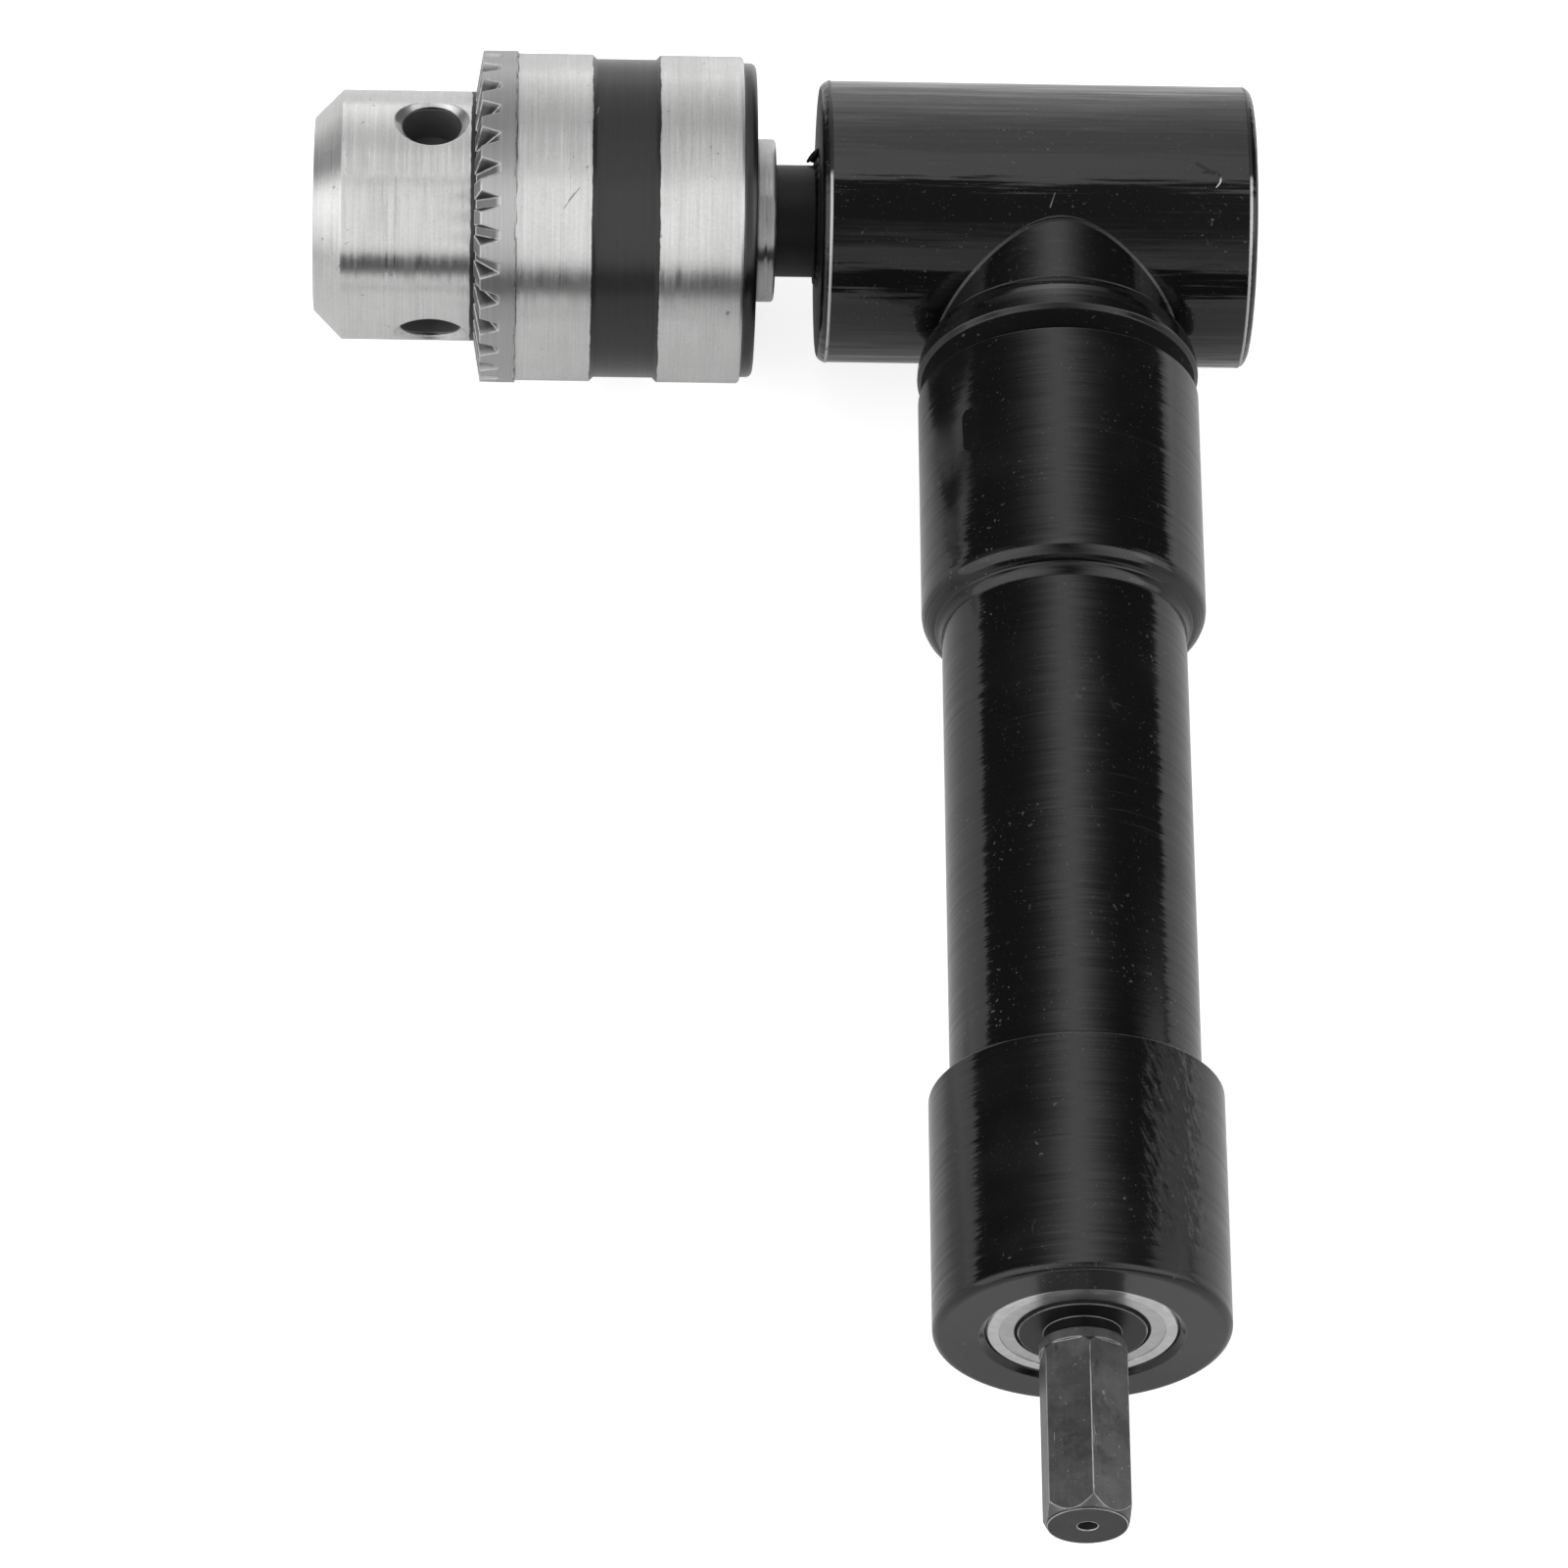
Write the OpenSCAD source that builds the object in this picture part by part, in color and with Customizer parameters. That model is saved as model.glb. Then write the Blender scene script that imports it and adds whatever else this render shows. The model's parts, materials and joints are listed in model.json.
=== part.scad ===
// Right angle drill attachment: a hex shank turns a pair of bevel gears in a
// T-shaped head, and the output spindle carries a keyed three-jaw drill chuck.
// The object lies on its side. The origin is the centre of the shank's end face,
// +Y runs up the handle to the head, -X runs out along the chuck, +Z is up.

/* [Head] */
// Outside diameter of the head barrel
head_d = 29.4; // [28:0.1:34]
// Head barrel length from the crossing of the axes to the chuck side face
head_front_len = 24.75; // [24.5:0.05:30]
// Head barrel length from the crossing of the axes to the closed end
head_back_len = 20.3; // [20:0.1:26]
// Thickness of the wall that the spindle neck passes through
head_wall = 2.25; // [1.8:0.05:3]
// Rounding of the two outer edges of the head barrel
head_edge_r = 1; // [0.4:0.1:1.8]
// Distance from the crossing of the axes to the end of the branch
branch_len = 14.9; // [14.4:0.1:17]
// Outside diameter of the branch below the head
branch_d = 25; // [24.6:0.1:26]

/* [Handle] */
// Outside diameter of the flange that the neck ring flares out to
flange_d = 29.1; // [28:0.1:30]
// Length of the flare from the branch to the flange
flare_len = 4.2; // [3.8:0.1:6]
// Length of the flange's straight side
flange_side_len = 0.3; // [0.2:0.1:2]
// Bevel of the flange's lower edge
flange_bevel = 0.4; // [0.2:0.1:0.6]
// Length of the undercut between the flange and the upper collar
undercut_len = 2.25; // [1.5:0.05:4]
// Diameter of the undercut where it meets the upper collar
undercut_d = 26.6; // [26:0.1:28]
// Outside diameter of the upper collar
upper_collar_d = 29; // [28:0.1:34]
// Length of the upper collar
upper_collar_len = 27.65; // [22:0.05:36]
// Rounding of the lower rim of the upper collar
upper_rim_r = 1.9; // [0.6:0.1:2]
// Outside diameter of the grip tube
tube_d = 24.9; // [24.6:0.1:26.5]
// Wall of the grip tube
tube_wall = 2.5; // [1.5:0.1:3.5]
// Length of the grip tube between the two collars
grip_len = 54.1; // [30:0.1:90]
// Length of tube or ring that each collar takes in
spigot_len = 11.5; // [8:0.1:13]
// Outside diameter of the lower collar
lower_collar_d = 29.2; // [28:0.1:34]
// Length of the lower collar
lower_collar_len = 25.95; // [22:0.05:36]
// Rounding of the lower rim of the lower collar
lower_rim_r = 0.85; // [0.3:0.05:1.5]
// Small bevel on the collars' upper edges
collar_bevel = 0.4; // [0.1:0.05:0.6]

/* [Shank] */
// Hex shank width across flats
hex_af = 8; // [6:0.1:8.2]
// Length of the hex shank
hex_len = 18.1; // [12:0.1:30]
// How far the shaft's turned nose stands out of the lower collar before the hex
shaft_nose_len = 2.15; // [1.8:0.05:4]
// Diameter of the shaft collar that covers the bearing's inner ring
shaft_collar_d = 12.5; // [11:0.1:12.7]
// Diameter of the groove between the shaft's collar and its turned ring
shaft_groove_d = 7.6; // [6.6:0.1:8.4]
// Diameter of the turned ring just before the hex
shaft_ring_d = 8.6; // [8.2:0.1:9]
// Length of the turned ring just before the hex
shaft_ring_len = 1.3; // [0.8:0.1:1.6]
// Turn of the hex about its axis at rest, in degrees
hex_turn = 26; // [0:0.5:60]
// Diameter of the centre hole in the shank's end
centre_hole_d = 2; // [1:0.1:3]

/* [Bearings] */
// Bore of the two handle bearings
handle_bearing_bore = 10; // [9.6:0.1:10.2]
// Radial thickness of the two handle bearings, from bore to outside
handle_bearing_section = 4.5; // [4.3:0.05:4.7]
// Width of the two handle bearings
handle_bearing_w = 5; // [4.6:0.1:5.4]
// Bore of the spindle's front bearing
front_bearing_bore = 12; // [11.8:0.1:12.4]
// Outside diameter of the spindle's front bearing, and bore of the head
front_bearing_od = 24; // [23:0.1:24.4]
// Width of the spindle's front bearing
front_bearing_w = 6; // [5.6:0.1:6.4]
// Bore of the spindle's rear bearing
rear_bearing_bore = 6; // [5.6:0.1:6.2]
// Outside diameter of the spindle's rear bearing
rear_bearing_od = 17; // [16.6:0.1:17.6]
// Width of the spindle's rear bearing
rear_bearing_w = 6; // [5.4:0.1:6.2]
// How deep the shank bearing sits below the lower collar's face
bearing_recess = 0.45; // [0.2:0.05:1]

/* [Bevel gears] */
// Module of both bevel gears at their outer end
gear_module = 1; // [0.9:0.01:1.02]
// Face width of the teeth
gear_face = 4; // [3:0.1:4.2]
// Gap between the flanks of two meshing teeth
flank_gap = 0.28; // [0.26:0.01:0.34]
// Diameter of the gear hubs
gear_hub_d = 12.4; // [11:0.1:12.6]
// Diameter of the shaft ends that carry the gears
gear_seat_d = 7; // [6.4:0.1:7.2]
// Diameter of the cross pins that hold the gears
pin_d = 2; // [1.5:0.1:2.5]

/* [Spindle] */
// Diameter of the spindle neck between head and chuck
neck_d = 11.7; // [11:0.1:11.8]
// Visible length of the spindle neck
neck_len = 4.55; // [3:0.05:10]
// Diameter of the spindle's screw thread, 3/8 inch
thread_d = 9.525; // [9:0.005:10]
// Length of the spindle's screw thread, washer included
thread_len = 14.2; // [12:0.1:15]
// Diameter of the washer between spindle and chuck
washer_d = 17; // [14:0.1:20]
// Thickness of the washer
washer_len = 2.15; // [1.5:0.05:3]

/* [Chuck body] */
// Diameter of the chuck nose
nose_d = 26; // [25:0.1:27]
// Length of the whole chuck body
chuck_len = 45.85; // [45:0.05:48]
// Axial length of the bevel round the nose
nose_bevel = 2.9; // [1.5:0.1:3.5]
// Diameter of the central bore that a drill shank enters
chuck_bore_d = 10.5; // [9.5:0.1:10.8]
// Depth of the central bore
chuck_bore_depth = 31; // [30:0.1:31.5]
// Diameter of the narrower inner end of the central bore
chuck_pilot_d = 10.1; // [9.4:0.1:10.3]
// Length of the narrower inner end of the central bore
chuck_pilot_len = 6; // [4:0.1:7]
// Diameter of the body where the sleeve's rear end runs
body_rear_d = 30.4; // [29.6:0.1:30.8]
// Diameter of the rear flange behind the sleeve
body_flange_d = 32.8; // [31:0.1:34]
// Thickness of the rear flange
body_flange_len = 1.25; // [1:0.05:2.5]
// Diameter of the key pilot holes
key_hole_d = 6.2; // [5:0.1:6.4]
// Distance of the key pilot holes from the nose face
key_hole_pos = 12.2; // [11.6:0.1:12.4]
// Depth of the key pilot holes
key_hole_depth = 5; // [3:0.1:5.2]
// Width of the countersink round each key pilot hole
key_countersink = 0.8; // [0.3:0.1:1]

/* [Chuck sleeve] */
// Distance of the sleeve's front edge from the nose face
sleeve_start = 16.7; // [16.4:0.1:17.2]
// Diameter over the toothed ring
ring_d = 34.6; // [34.2:0.1:35.4]
// Length of the toothed ring
ring_len = 4.3; // [3.6:0.1:5]
// Axial drop of the toothed ring's front cone
ring_cone_len = 0.7; // [0.5:0.05:1.2]
// Key teeth round the ring
key_teeth = 31; // [27:1:35]
// Axial depth of the tooth notches at the ring's outside
key_tooth_depth = 1.95; // [1.4:0.05:2.1]
// Width of the tooth notches at their blunt ends
key_notch_w = 0.9; // [0.5:0.1:1.2]
// Diameter of the ground bands of the sleeve
sleeve_d = 34.1; // [33.8:0.1:34.4]
// Length of the front ground band
front_band_len = 7.8; // [6:0.1:9]
// Length of the recessed dark groove
groove_len = 7.05; // [5:0.05:8]
// Depth of the recessed dark groove
groove_depth = 0.45; // [0.2:0.05:0.7]
// Length of the front lip that runs on the nose
lip_len = 2.2; // [2.1:0.05:2.4]
// Bevel of the sleeve's rear edge
sleeve_edge = 0.25; // [0.1:0.05:0.5]

/* [Jaws] */
// Diameter of the three jaws
jaw_d = 7; // [6.6:0.1:7.1]
// Tilt of the jaws to the chuck axis, in degrees
jaw_tilt = 15; // [14.5:0.1:15.2]
// Distance before the nose face where the jaws' axes would meet
jaw_apex = 8.5; // [8:0.1:8.8]
// Depth of the open jaws' tips behind the nose face
jaw_tip_pos = 9.7; // [9:0.1:11]
// Depth of the open jaws' rear ends behind the nose face
jaw_rear_pos = 39.7; // [38:0.1:40]
// Distance of the open jaws' gripping edges from the chuck axis
jaw_open_r = 5.3; // [5.1:0.05:5.6]
// Pitch of the jaw teeth, and of the nut
jaw_pitch = 1.5; // [1.2:0.1:1.8]
// Depth of the jaw teeth
jaw_tooth_depth = 0.7; // [0.3:0.05:0.9]

/* [Hidden] */
$fn = 96;

// Steps in each rounded edge
arc_steps = 6;
// Overrun of every cut, so that no skin is left
over = 0.5;
// Radial gap of the chuck's running surfaces
run_gap = 0.1;
// Radial gap round the spindle neck and other parts that only pass through
pass_gap = 0.3;
// Axial gap between turning and fixed faces
face_gap = 0.1;

// Colours of the object
paint = [0.03, 0.03, 0.035];
oxide = [0.12, 0.12, 0.13];
steel = [0.72, 0.72, 0.73];
ground = [0.8, 0.8, 0.81];

// Places along the handle axis, measured down from the crossing of the axes
flare_end = branch_len + flare_len;
flange_end = flare_end + flange_side_len + flange_bevel;
collar_top = flange_end + undercut_len;
upper_split = collar_top + spigot_len;
upper_collar_end = collar_top + upper_collar_len;
lower_collar_top = upper_collar_end + grip_len;
tube_end = lower_collar_top + spigot_len;
handle_end = lower_collar_top + lower_collar_len;
shank_bearing_end = handle_end - bearing_recess;
shank_bearing_start = shank_bearing_end - handle_bearing_w;
hex_start = handle_end + shaft_nose_len;
shank_reach = hex_start + hex_len;

// Outside diameter of the two handle bearings
handle_bearing_od = handle_bearing_bore + 2 * handle_bearing_section;
// Bearings as bore, outside diameter and width
handle_bearing = [handle_bearing_bore, handle_bearing_od, handle_bearing_w];
front_bearing = [front_bearing_bore, front_bearing_od, front_bearing_w];
rear_bearing = [rear_bearing_bore, rear_bearing_od, rear_bearing_w];
// Shares of a bearing's section, from its bore to its outside
ball_share = 0.26;
land_share = 0.31;
bevel_share = 0.07;
cage_share = 0.15;
// Share of a ball's radius that each ball takes of the pitch circle, to each side
ball_spacing_share = 1.35;
// Gap between ball and race, and between ball and cage pocket
ball_gap = 0.05;
// Thickness of the shields, their inset and their gap to the inner ring
shield_t = 0.25;
shield_inset = 0.1;
shield_gap = 0.15;

// Snap rings: thickness, height of the ring and depth of its groove
snap_t = 1;
snap_h = 1.6;
snap_groove = 0.4;

// Places along the spindle axis, measured from the crossing to the chuck
front_bearing_end = head_front_len - head_wall;
front_bearing_start = front_bearing_end - front_bearing_w;
shoulder_len = 2;
shoulder_start = front_bearing_start - shoulder_len;
shoulder_d = 14.8;
neck_end = head_front_len + neck_len;
chuck_rear = neck_end + washer_len;
nose_face = chuck_rear + chuck_len;
thread_end = neck_end + thread_len;
thread_gap = 0.05;

// Rear cap, its pocket for the rear bearing and its recess for the spindle's end
cap_back = head_back_len - snap_t - head_edge_r;
cap_wall = 1.1;
cap_recess = 2;
rear_bearing_back = cap_back - cap_wall - cap_recess;
rear_bearing_start = rear_bearing_back - rear_bearing_w;
cap_recess_d = 13.2;
spindle_end_len = 1.4;
circlip_t = 0.8;
circlip_h = 1.6;
circlip_groove = 0.3;

// Bevel gears: both have a pitch cone of 45 degrees about the crossing
gear_teeth = 16;
gear_pitch_r = gear_module * gear_teeth / 2;
gear_cone = gear_pitch_r * sqrt(2);
gear_addendum = gear_module;
gear_dedendum = 1.25 * gear_module;
gear_inner_share = (gear_cone - gear_face) / gear_cone;
pressure_angle = 20;
gear_step = 360 / gear_teeth;
pin_inset = 2.5;
// Shares of the cone and of the addendum by which a tooth space runs out of the gear
space_reach_share = 1.2;
space_height_share = 1.3;

// Shaft details
shaft_relief = 0.1;
pinion_end_gap = 0.2;
collar_land = 0.15;
ring_bevel = 0.25;
hex_corner_r = hex_af / sqrt(3);
hex_chamfer = 1.35;
hex_end_r = 3.9;
seat_chamfer = 0.55;

// Chuck: lip, groove for the nut and the nut in it
lip_end = sleeve_start + lip_len;
nut_len = 6.5;
nut_groove_end = lip_end + nut_len + 2 * face_gap;
nut_floor_r = 10.4;
sleeve_bore_r = body_rear_d / 2 + run_gap;
sleeve_end = chuck_len - body_flange_len - face_gap;
flange_round = 0.65;
washer_round = 0.4;
nut_slot = 0.2;
jaw_hole_gap = 0.08;
jaw_back_gap = 0.15;
jaw_clear = 0.6;
screw_hole_d = 5.2;
chuck_web = 2;
nose_face_r = nose_d / 2 - nose_bevel;
// Angles of the key holes and of the jaws about the chuck axis
key_angles = [15, 135, 255];
jaw_angles = [75, 195, 315];

// Points of an arc about a centre, from one angle to another
function arc(centre, r, a0, a1) = [for (i = [0:arc_steps])
    centre + r * [cos(a0 + (a1 - a0) * i / arc_steps), sin(a0 + (a1 - a0) * i / arc_steps)]];

// Places its children with +Z along the spindle axis, out to the chuck
module on_spindle() {
    translate([0, shank_reach, 0]) rotate([0, -90, 0]) children();
}

// Places its children with +Z along the handle axis, down to the shank
module on_handle() {
    translate([0, shank_reach, 0]) rotate([90, 0, 0]) children();
}

// Places its children with +Z from the chuck's nose face back to the head
module in_chuck() {
    on_spindle() translate([0, 0, nose_face]) mirror([0, 0, 1]) children();
}

// A rod or a plain ring between two heights
module rod(d, z0, z1) {
    translate([0, 0, z0]) cylinder(d = d, h = z1 - z0);
}

module ring(d_out, d_in, z0, z1) {
    difference() {
        rod(d_out, z0, z1);
        rod(d_in, z0 - over, z1 + over);
    }
}

// A hole for a cross pin
module cross_hole(z) {
    translate([0, 0, z]) rotate([0, 90, 0]) cylinder(d = pin_d, h = shoulder_d + 2 * over, center = true);
}

// Sizes of a ball bearing
function section(b) = (b[1] - b[0]) / 2;
function pitch_r(b) = (b[0] + b[1]) / 4;
function ball_r(b) = ball_share * section(b);
function inner_land(b) = b[0] / 2 + land_share * section(b);
function outer_land(b) = b[1] / 2 - land_share * section(b);
function ball_count(b) = floor(180 / asin(ball_spacing_share * ball_r(b) / pitch_r(b)));

// The race groove that both rings share
module race(b) {
    translate([0, 0, b[2] / 2])
        rotate_extrude() translate([pitch_r(b), 0]) circle(r = ball_r(b) + ball_gap, $fn = 48);
}

module bearing_outer(b) {
    r = b[1] / 2;
    bevel = bevel_share * section(b);
    color(steel) difference() {
        rotate_extrude() polygon([[outer_land(b), 0], [r - bevel, 0], [r, bevel],
            [r, b[2] - bevel], [r - bevel, b[2]], [outer_land(b), b[2]]]);
        race(b);
    }
}

module bearing_inner(b) {
    color(steel) difference() {
        ring(2 * inner_land(b), b[0], 0, b[2]);
        race(b);
    }
}

module bearing_balls(b) {
    color(ground) for (i = [1:ball_count(b)])
        rotate([0, 0, i * 360 / ball_count(b)])
            translate([pitch_r(b), 0, b[2] / 2]) sphere(r = ball_r(b), $fn = 32);
}

module bearing_cage(b) {
    pocket = ball_r(b) + ball_gap;
    half_t = cage_share * section(b) / 2;
    rim = half_t;
    color(steel) difference() {
        ring(2 * (pitch_r(b) + half_t), 2 * (pitch_r(b) - half_t),
            b[2] / 2 - pocket - rim, b[2] / 2 + pocket + rim);
        for (i = [1:ball_count(b)])
            rotate([0, 0, i * 360 / ball_count(b)])
                translate([pitch_r(b), 0, b[2] / 2]) rotate([0, 90, 0])
                    cylinder(r = pocket, h = 4 * half_t, center = true);
    }
}

module bearing_shields(b) {
    for (z = [shield_inset, b[2] - shield_inset - shield_t])
        color(steel) ring(2 * outer_land(b), 2 * (inner_land(b) + shield_gap), z, z + shield_t);
}

// An inner snap ring with its gap, that springs out into a groove of a bore
module bore_snap_ring(bore_d) {
    color(oxide) difference() {
        ring(bore_d + 2 * snap_groove, bore_d + 2 * snap_groove - 2 * snap_h, 0, snap_t);
        translate([0, -snap_h, -over]) cube([bore_d, 2 * snap_h, snap_t + 2 * over]);
    }
}

// A circlip with its gap, that grips a groove of a shaft
module shaft_circlip(shaft_d) {
    color(oxide) difference() {
        ring(shaft_d - 2 * circlip_groove + 2 * circlip_h, shaft_d - 2 * circlip_groove, 0, circlip_t);
        translate([0, -circlip_h, -over]) cube([shaft_d, 2 * circlip_h, circlip_t + 2 * over]);
    }
}

// One tooth space of a bevel gear: a wedge that narrows to the crossing
module tooth_space() {
    reach = space_reach_share;
    low = gear_dedendum;
    high = space_height_share * gear_addendum;
    half = gear_module * PI / 4 + flank_gap / 2;
    low_w = half - low * tan(pressure_angle);
    high_w = half + high * tan(pressure_angle);
    c = cos(45);
    polyhedron(points = [[0, 0, 0],
        reach * [gear_pitch_r - low * c, -low_w, gear_pitch_r + low * c],
        reach * [gear_pitch_r - low * c, low_w, gear_pitch_r + low * c],
        reach * [gear_pitch_r + high * c, high_w, gear_pitch_r - high * c],
        reach * [gear_pitch_r + high * c, -high_w, gear_pitch_r - high * c]],
        faces = [[0, 2, 1], [0, 3, 2], [0, 4, 3], [0, 1, 4], [1, 2, 3], [1, 3, 4]]);
}

// A bevel gear whose cones meet at the origin, with a hub that ends at hub_end
module bevel_gear(hub_end, first_space) {
    c = cos(45);
    tip = [gear_pitch_r + gear_addendum * c, gear_pitch_r - gear_addendum * c];
    root = [gear_pitch_r - gear_dedendum * c, gear_pitch_r + gear_dedendum * c];
    difference() {
        rotate_extrude() polygon([
            tip * gear_inner_share, tip, root,
            [gear_hub_d / 2, root[1]], [gear_hub_d / 2, hub_end],
            [gear_seat_d / 2, hub_end], [gear_seat_d / 2, root[1] * gear_inner_share],
            root * gear_inner_share]);
        for (i = [0:gear_teeth - 1])
            rotate([0, 0, first_space + i * gear_step]) tooth_space();
        cross_hole(hub_end - pin_inset);
    }
}

// Housing parts

module head_housing() {
    r = head_d / 2;
    color(paint) difference() {
        union() {
            on_spindle() rotate_extrude() polygon(concat(
                [[0, -head_back_len]],
                arc([r - head_edge_r, -head_back_len + head_edge_r], head_edge_r, -90, 0),
                arc([r - head_edge_r, head_front_len - head_edge_r], head_edge_r, 0, 90),
                [[0, head_front_len]]));
            on_handle() rod(branch_d, 0, branch_len);
        }
        on_spindle() {
            rod(front_bearing_od, -head_back_len - over, front_bearing_end);
            rod(neck_d + 2 * pass_gap, 0, head_front_len + over);
            rod(front_bearing_od + 2 * snap_groove, -cap_back - snap_t, -cap_back);
            rod(front_bearing_od + 2 * snap_groove, front_bearing_start - snap_t, front_bearing_start);
        }
        on_handle() rod(handle_bearing_od + 2 * snap_groove, 0, branch_len + over);
    }
}

module neck_ring() {
    r = flange_d / 2;
    flare_w = r - branch_d / 2;
    flare_r = (flare_w * flare_w + flare_len * flare_len) / (2 * flare_w);
    flare_turn = 2 * atan(flare_w / flare_len);
    color(paint) on_handle() difference() {
        union() {
            rotate_extrude() polygon(concat([[0, branch_len]],
                arc([r - flare_r, flare_end], flare_r, -flare_turn, 0),
                [[r, flange_end - flange_bevel], [r - flange_bevel, flange_end],
                [undercut_d / 2, collar_top], [0, collar_top]]));
            rod(tube_d, collar_top, upper_split);
            rod(handle_bearing_od + 2 * snap_groove, branch_len - snap_t, branch_len);
        }
        rod(handle_bearing_od, branch_len, upper_split + over);
        rod(handle_bearing_od - snap_t, 0, branch_len + over);
        rod(handle_bearing_od + 2 * snap_groove, branch_len + handle_bearing_w,
            branch_len + handle_bearing_w + snap_t);
    }
}

module upper_collar() {
    r = upper_collar_d / 2;
    color(paint) on_handle() difference() {
        rotate_extrude() polygon(concat(
            [[0, collar_top], [r - collar_bevel, collar_top], [r, collar_top + collar_bevel]],
            arc([r - upper_rim_r, upper_collar_end - upper_rim_r], upper_rim_r, 0, 90),
            [[0, upper_collar_end]]));
        rod(tube_d, collar_top - over, upper_collar_end + over);
    }
}

module grip_tube() {
    color(paint) on_handle() ring(tube_d, tube_d - 2 * tube_wall, upper_split, tube_end);
}

module lower_collar() {
    r = lower_collar_d / 2;
    seat_r = handle_bearing_od / 2;
    color(paint) on_handle() difference() {
        rotate_extrude() polygon(concat([[0, lower_collar_top],
            [r - collar_bevel, lower_collar_top], [r, lower_collar_top + collar_bevel]],
            arc([r - lower_rim_r, handle_end - lower_rim_r], lower_rim_r, 0, 90),
            [[0, handle_end]]));
        rod(tube_d, lower_collar_top - over, tube_end);
        rod(2 * outer_land(handle_bearing), tube_end - over, handle_end);
        rod(handle_bearing_od, shank_bearing_start, handle_end + over);
        rotate_extrude() polygon([[0, handle_end - seat_chamfer], [seat_r, handle_end - seat_chamfer],
            [seat_r + seat_chamfer, handle_end], [seat_r + seat_chamfer, handle_end + over],
            [0, handle_end + over]]);
    }
}

module rear_cap() {
    color(paint) on_spindle() difference() {
        rod(front_bearing_od, -cap_back, -rear_bearing_start);
        rod(rear_bearing_od, -rear_bearing_back, -rear_bearing_start + over);
        rod(cap_recess_d, -rear_bearing_back - cap_recess, 0);
    }
}

module rear_cap_ring() {
    on_spindle() translate([0, 0, -cap_back - snap_t]) bore_snap_ring(front_bearing_od);
}

module front_bearing_ring() {
    on_spindle() translate([0, 0, front_bearing_start - snap_t]) bore_snap_ring(front_bearing_od);
}

module neck_bearing_ring() {
    on_handle() translate([0, 0, branch_len + handle_bearing_w]) bore_snap_ring(handle_bearing_od);
}

// Bearings in their places

module at_front_bearing() { on_spindle() translate([0, 0, front_bearing_start]) children(); }
module front_bearing_outer() { at_front_bearing() bearing_outer(front_bearing); }
module front_bearing_inner() { at_front_bearing() bearing_inner(front_bearing); }
module front_bearing_balls() { at_front_bearing() bearing_balls(front_bearing); }
module front_bearing_cage() { at_front_bearing() bearing_cage(front_bearing); }
module front_bearing_shields() { at_front_bearing() bearing_shields(front_bearing); }

module at_rear_bearing() { on_spindle() translate([0, 0, -rear_bearing_back]) children(); }
module rear_bearing_outer() { at_rear_bearing() bearing_outer(rear_bearing); }
module rear_bearing_inner() { at_rear_bearing() bearing_inner(rear_bearing); }
module rear_bearing_balls() { at_rear_bearing() bearing_balls(rear_bearing); }
module rear_bearing_cage() { at_rear_bearing() bearing_cage(rear_bearing); }
module rear_bearing_shields() { at_rear_bearing() bearing_shields(rear_bearing); }

module at_neck_bearing() { on_handle() translate([0, 0, branch_len]) children(); }
module neck_bearing_outer() { at_neck_bearing() bearing_outer(handle_bearing); }
module neck_bearing_inner() { at_neck_bearing() bearing_inner(handle_bearing); }
module neck_bearing_balls() { at_neck_bearing() bearing_balls(handle_bearing); }
module neck_bearing_cage() { at_neck_bearing() bearing_cage(handle_bearing); }
module neck_bearing_shields() { at_neck_bearing() bearing_shields(handle_bearing); }

module at_shank_bearing() { on_handle() translate([0, 0, shank_bearing_start]) children(); }
module shank_bearing_outer() { at_shank_bearing() bearing_outer(handle_bearing); }
module shank_bearing_inner() { at_shank_bearing() bearing_inner(handle_bearing); }
module shank_bearing_balls() { at_shank_bearing() bearing_balls(handle_bearing); }
module shank_bearing_cage() { at_shank_bearing() bearing_cage(handle_bearing); }
module shank_bearing_shields() { at_shank_bearing() bearing_shields(handle_bearing); }

// Input shaft and what turns with it

module hex_shank() {
    root_r = shaft_ring_d / 2;
    root_len = hex_chamfer * (hex_corner_r - root_r) / (hex_corner_r - hex_end_r);
    intersection() {
        translate([0, 0, hex_start]) rotate([0, 0, hex_turn])
            cylinder(r = hex_corner_r, h = hex_len, $fn = 6);
        rotate_extrude() polygon([[0, hex_start], [root_r, hex_start],
            [hex_corner_r, hex_start + root_len],
            [hex_corner_r, shank_reach - hex_chamfer], [hex_end_r, shank_reach], [0, shank_reach]]);
    }
}

module input_shaft() {
    seat_start = gear_pitch_r * gear_inner_share + pinion_end_gap;
    clip = branch_len + handle_bearing_w;
    journal_r = handle_bearing_bore / 2;
    body_r = journal_r - shaft_relief;
    ring_r = shaft_ring_d / 2;
    ring_start = hex_start - shaft_ring_len;
    color(oxide) on_handle() difference() {
        union() {
            rod(gear_seat_d, seat_start, branch_len);
            rod(2 * journal_r, branch_len, clip);
            rod(2 * (journal_r - circlip_groove), clip, clip + circlip_t);
            rod(2 * body_r, clip + circlip_t, shank_bearing_start);
            rod(2 * journal_r, shank_bearing_start, shank_bearing_end);
            rod(shaft_collar_d, shank_bearing_end, shank_bearing_end + collar_land);
            rod(shaft_groove_d, shank_bearing_end, ring_start);
            rotate_extrude() polygon([[0, ring_start], [ring_r - ring_bevel, ring_start],
                [ring_r, ring_start + ring_bevel], [ring_r, hex_start], [0, hex_start]]);
            hex_shank();
        }
        cross_hole(branch_len - pin_inset);
        rod(centre_hole_d, shank_reach - centre_hole_d, shank_reach + over);
    }
}

module bevel_pinion() {
    color(steel) on_handle() bevel_gear(branch_len, 180);
}

module pinion_pin() {
    color(steel) on_handle() translate([0, 0, branch_len - pin_inset]) rotate([0, 90, 0])
        cylinder(d = pin_d, h = gear_hub_d, center = true);
}

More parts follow.
